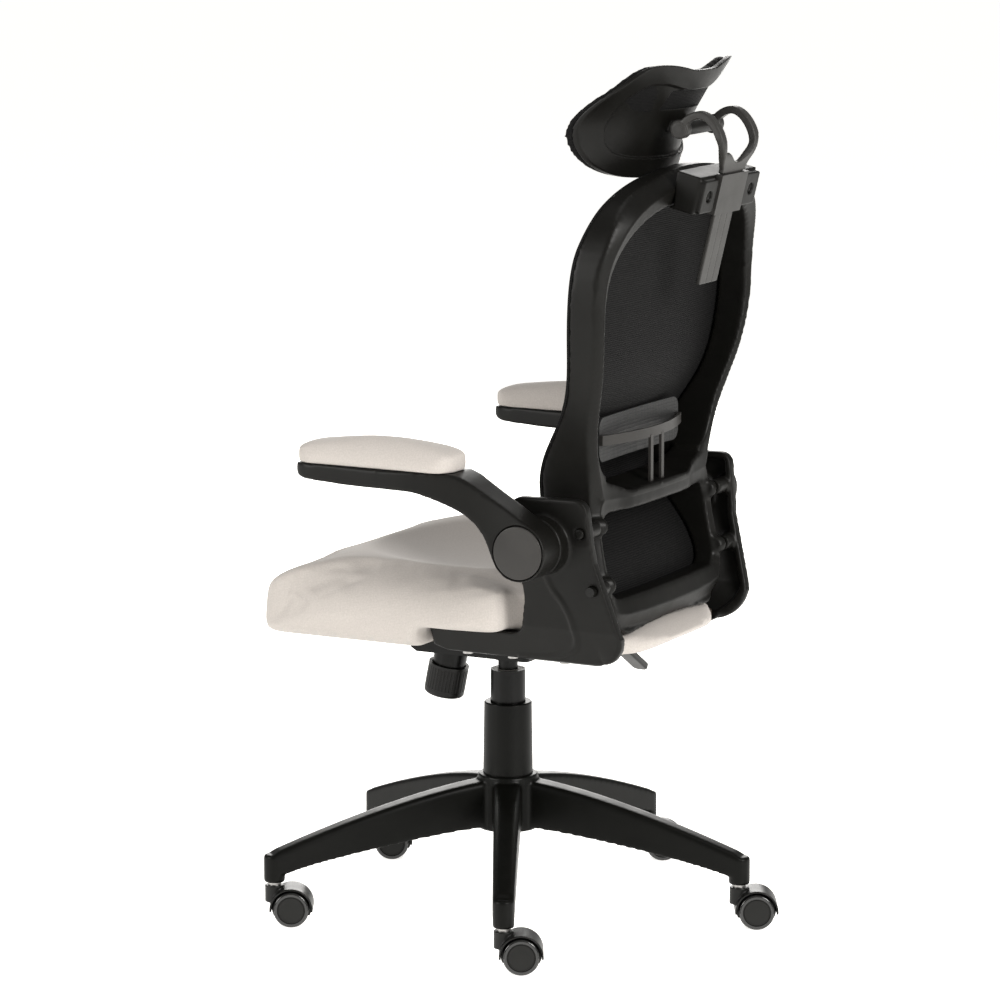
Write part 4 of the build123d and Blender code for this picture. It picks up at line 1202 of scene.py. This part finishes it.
@dataclass
class BackFrame(SubAssembly):
    """Moulded back frame with its mesh."""

    voxel: float = 0.0024
    ease: int = 10
    ridge_share: float = 0.45
    side_drop: float = 9 * MM
    top_drop: float = 20 * MM
    inner_drop: float = 5 * MM
    shelf_drop: float = 13 * MM
    shelf_half: float = 170 * MM
    shelf_span: tuple[float, float] = (625, 662)
    top_start: float = 980
    bow_depth: float = 18 * MM
    bow_half: float = 0.245
    sheet_middle: tuple[float, float] = (0.0, 760 * MM)
    sheet_rings: int = 44
    sheet_reach: float = 0.992
    hem_radius: float = 2.2 * MM
    cut: tuple[float, float] = (0.49, 0.65)
    cut_area: float = 0.285
    outline: tuple[tuple[float, float], ...] = (
        (0, 1076), (120, 1064), (196, 1036), (232, 990), (244, 940), (242, 870), (226, 791), (203, 720),
        (186, 660), (184, 600), (188, 542), (184, 490), (150, 456), (0, 449),
    )
    window: tuple[tuple[float, float], ...] = (
        (0, 1032), (110, 1024), (184, 992), (217, 940), (224, 870), (208, 791), (184, 720), (158, 668),
        (110, 651), (0, 650),
    )
    lower_window: tuple[tuple[float, float], ...] = (
        (0, 610), (141, 610), (158, 603), (165, 586), (165, 518), (158, 501), (141, 494), (0, 494),
    )
    rear: tuple[tuple[float, float], ...] = (
        (440, 252), (484, 245), (542, 231), (600, 219), (660, 219), (720, 228), (791, 250), (870, 264),
        (950, 270), (1010, 284), (1085, 290),
    )
    front: tuple[tuple[float, float], ...] = (
        (440, 222), (484, 212), (542, 190), (600, 150), (662, 140), (719, 168), (775, 199), (842, 213),
        (918, 219), (977, 226), (1046, 244), (1085, 250),
    )

    def build(self) -> None:
        """Frame and mesh."""
        frame = moulded_copy(self.shop.nodes["back_frame"], "back_frame_soft", self.voxel, self.ease)
        self.shape(frame)
        self.shop.book(frame, "seat", SHELL_PLASTIC, "back_frame")
        self.mesh()

    def shape(self, frame: bpy.types.Object) -> None:
        """Give the rear face its ridge and the crossbar its sloping shelf.

        Args:
            frame: The frame.
        """
        outer = tree_of(flowing([(x * MM, z * MM) for x, z in self.outline], 70))
        holes = tree_of(flowing([(x * MM, z * MM) for x, z in self.window], 70)
                        + flowing([(x * MM, z * MM) for x, z in self.lower_window], 60))
        for vertex in frame.data.vertices:
            point = vertex.co
            at = (abs(point.x), point.z, 0.0)
            _, _, from_edge = outer.find(at)
            _, _, from_hole = holes.find(at)
            height = point.z / MM
            bow = self.bow_depth * (1 - (point.x / self.bow_half) ** 2)
            behind = blend_between(self.rear, height) * MM + bow
            ahead = blend_between(self.front, height) * MM + bow
            depth = eased((point.y - ahead) / (behind - ahead))
            rail = eased((100 * MM - from_edge) / (40 * MM))
            share = from_edge / max(from_edge + from_hole, 1e-6)
            near_top = eased((height - self.top_start) / 70)
            outer_drop = self.side_drop + (self.top_drop - self.side_drop) * near_top
            if share < self.ridge_share:
                drop = outer_drop * (1 - share / self.ridge_share)
            else:
                drop = self.inner_drop * (share - self.ridge_share) / (1 - self.ridge_share)
            point.y -= drop * depth * rail
            if abs(point.x) < self.shelf_half and self.shelf_span[0] < height < self.shelf_span[1]:
                climb = eased((height - 622) / 22)
                point.z -= self.shelf_drop * depth * climb * (1 - rail * 0.5)
        frame.data.update()

    def front_of(self, tree: BVHTree, x: float, z: float) -> Vector:
        """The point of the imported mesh's front face at a place in front view.

        Args:
            tree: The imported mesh's faces.
            x: Place across.
            z: Height.

        Returns:
            The point.
        """
        hit, _, _, _ = tree.ray_cast(Vector((x, -1.0, z)), Vector((0, 1, 0)))
        if hit is None:
            hit, _, _, _ = tree.find_nearest(Vector((x, 0.2, z)))
        return hit

    def mesh(self) -> None:
        """The mesh, one sheet stretched over the front of the frame, with a hem round its edge."""
        node = self.shop.nodes["back_mesh"]
        tree = BVHTree.FromObject(node, bpy.context.evaluated_depsgraph_get())
        half = flowing([(x * MM, z * MM) for x, z in self.outline], 8)
        rim = [p.copy() for p in half] + [Vector((-p.x, p.y)) for p in reversed(half[1:-1])]
        middle = Vector(self.sheet_middle)
        shape = bmesh.new()
        hub = shape.verts.new(self.front_of(tree, middle.x, middle.y))
        loops = []
        for ring in range(1, self.sheet_rings + 1):
            share = ring / self.sheet_rings
            loop = []
            for point in rim:
                place = middle + (point - middle) * share * self.sheet_reach
                loop.append(shape.verts.new(self.front_of(tree, place.x, place.y)))
            loops.append(loop)
        count = len(rim)
        for k in range(count):
            shape.faces.new((hub, loops[0][(k + 1) % count], loops[0][k]))
            for inner, outer in zip(loops, loops[1:]):
                shape.faces.new((inner[k], inner[(k + 1) % count], outer[(k + 1) % count], outer[k]))
        edge = [vertex.co.copy() for vertex in loops[-1]]
        bmesh.ops.recalc_face_normals(shape, faces=shape.faces)
        data = bpy.data.meshes.new("back_mesh_sheet")
        shape.to_mesh(data)
        shape.free()
        sheet = bpy.data.objects.new("back_mesh_sheet", data)
        bpy.context.scene.collection.objects.link(sheet)
        apply_modifier(sheet, "SMOOTH", factor=0.5, iterations=2)
        take(sheet)
        bpy.ops.object.shade_smooth()
        self.shop.book(sheet, "seat", BACK_MESH, "back_mesh")
        hem = self.hem(edge)
        log.info("sheet area %.4f", sum(face.area for face in sheet.data.polygons))

    def hem(self, edge: Sequence[Vector]) -> bpy.types.Object:
        """The rolled hem round the mesh.

        Args:
            edge: The mesh's rim.

        Returns:
            The hem.
        """
        curve = bpy.data.curves.new("back_hem", "CURVE")
        curve.dimensions = "3D"
        curve.bevel_depth = self.hem_radius
        curve.bevel_resolution = 2
        spline = curve.splines.new("POLY")
        spline.points.add(len(edge) - 1)
        for knot, point in zip(spline.points, edge):
            knot.co = (point.x, point.y + self.hem_radius * 0.6, point.z, 1.0)
        spline.use_cyclic_u = True
        rope = bpy.data.objects.new("hem_line", curve)
        bpy.context.scene.collection.objects.link(rope)
        data = bpy.data.meshes.new_from_object(rope)
        bpy.data.objects.remove(rope)
        hem = bpy.data.objects.new("back_hem", data)
        bpy.context.scene.collection.objects.link(hem)
        take(hem)
        bpy.ops.object.shade_smooth()
        return self.shop.book(hem, "seat", BACK_MESH)


@dataclass
class Lumbar(SubAssembly):
    """Sliding lumbar pad and its brace."""

    def build(self) -> None:
        """Dress the pad and brace."""
        self.shop.paint(LUMBAR_PAD, "lumbar_pad")
        # The brace gets the lighter plastic, whose colour is a painted highlight.
        self.shop.paint(HIGHLIGHT_PAINTED_RIM_PLASTIC, "lumbar_brace")


@dataclass
class HeadrestMount(SubAssembly):
    """Block and clamp on the frame's top, with the post and fork."""

    block_voxel: float = 0.0014
    block_ease: int = 5
    post_voxel: float = 0.0011
    post_ease: int = 3
    fork_foot: float = 1078 * MM
    fork_blend: float = 16 * MM
    fork_swell: float = 1.7 * MM
    cap_radius: float = 11.0 * MM
    cap_height: float = 1.4 * MM
    cap_sink: float = 0.2 * MM

    def build(self) -> None:
        """Block, clamp, post and pin."""
        node = self.shop.nodes["headrest_block"]
        block = moulded_copy(node, "headrest_block_soft", self.block_voxel, self.block_ease)
        self.shop.book(block, "seat", SHELL_PLASTIC, "headrest_block")
        node = self.shop.nodes["headrest_post"]
        post = moulded_copy(node, "headrest_post_soft", self.post_voxel, self.post_ease)
        self.thicken(post)
        # Post and clamp get the lighter plastic, whose colour is a painted highlight.
        self.shop.book(post, "head_post", HIGHLIGHT_PAINTED_POST_PLASTIC, "headrest_post")
        self.shop.paint(HIGHLIGHT_PAINTED_POST_PLASTIC, "headrest_clamp")
        self.shop.paint(BARE_STEEL, "headrest_pin")
        low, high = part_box("headrest_pin")
        pivot = (low + high) / 2
        for side in Side:
            place = (side.value * (high.x - self.cap_sink), pivot.y, pivot.z)
            out = Vector((side.value, 0, 0))
            cap = button(f"pin_cap_{side.word}", place, self.cap_radius, self.cap_height, out)
            # The pin caps get the lighter plastic, whose colour is a painted highlight.
            self.shop.book(cap, "head_post", HIGHLIGHT_PAINTED_POST_PLASTIC)

    def thicken(self, post: bpy.types.Object) -> None:
        """Fill the fork's loops out above the clamp."""
        normals = [vertex.normal.copy() for vertex in post.data.vertices]
        for vertex, normal in zip(post.data.vertices, normals):
            share = eased((vertex.co.z - self.fork_foot) / self.fork_blend)
            level = Vector((0, normal.y, normal.z))
            vertex.co += level * self.fork_swell * share


@dataclass
class Headrest(SubAssembly):
    """Curved headrest: moulded shell behind, padded mesh in front."""

    shell_voxel: float = 0.0012
    pad_voxel: float = 0.0030
    ease: int = 5
    pressure: float = 2.0
    swell_cap: float = 3 * MM

    def build(self) -> None:
        """Shell and pad."""
        node = self.shop.nodes["headrest_shell"]
        shell = moulded_copy(node, "headrest_shell_soft", self.shell_voxel, self.ease)
        self.shop.book(shell, "headrest", SHELL_PLASTIC, "headrest_shell")
        node = self.shop.nodes["headrest_pad"]
        pad = moulded_copy(node, "headrest_cushion", self.pad_voxel, self.ease)
        inflate(pad, self.pressure, self.swell_cap, pinned=lambda point: False)
        round_off(pad)
        self.shop.book(pad, "headrest", HEAD_MESH, "headrest_pad")


def main() -> None:
    """Build every sub-assembly in order and report it."""
    logging.basicConfig(level=logging.INFO, format="%(name)s: %(message)s")
    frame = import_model()
    deselect_all()
    shop = Workshop(frame)
    Studio(shop).build()
    sub_assemblies = (
        StarBase, GasColumn, TiltMechanism, Seat, SideBrackets, Armrests, BackFrame, Lumbar,
        HeadrestMount, Headrest,
    )
    for kind in sub_assemblies:
        kind(shop).build()
        log.info("%s done", kind.__name__)


if __name__ == "__main__":
    main()
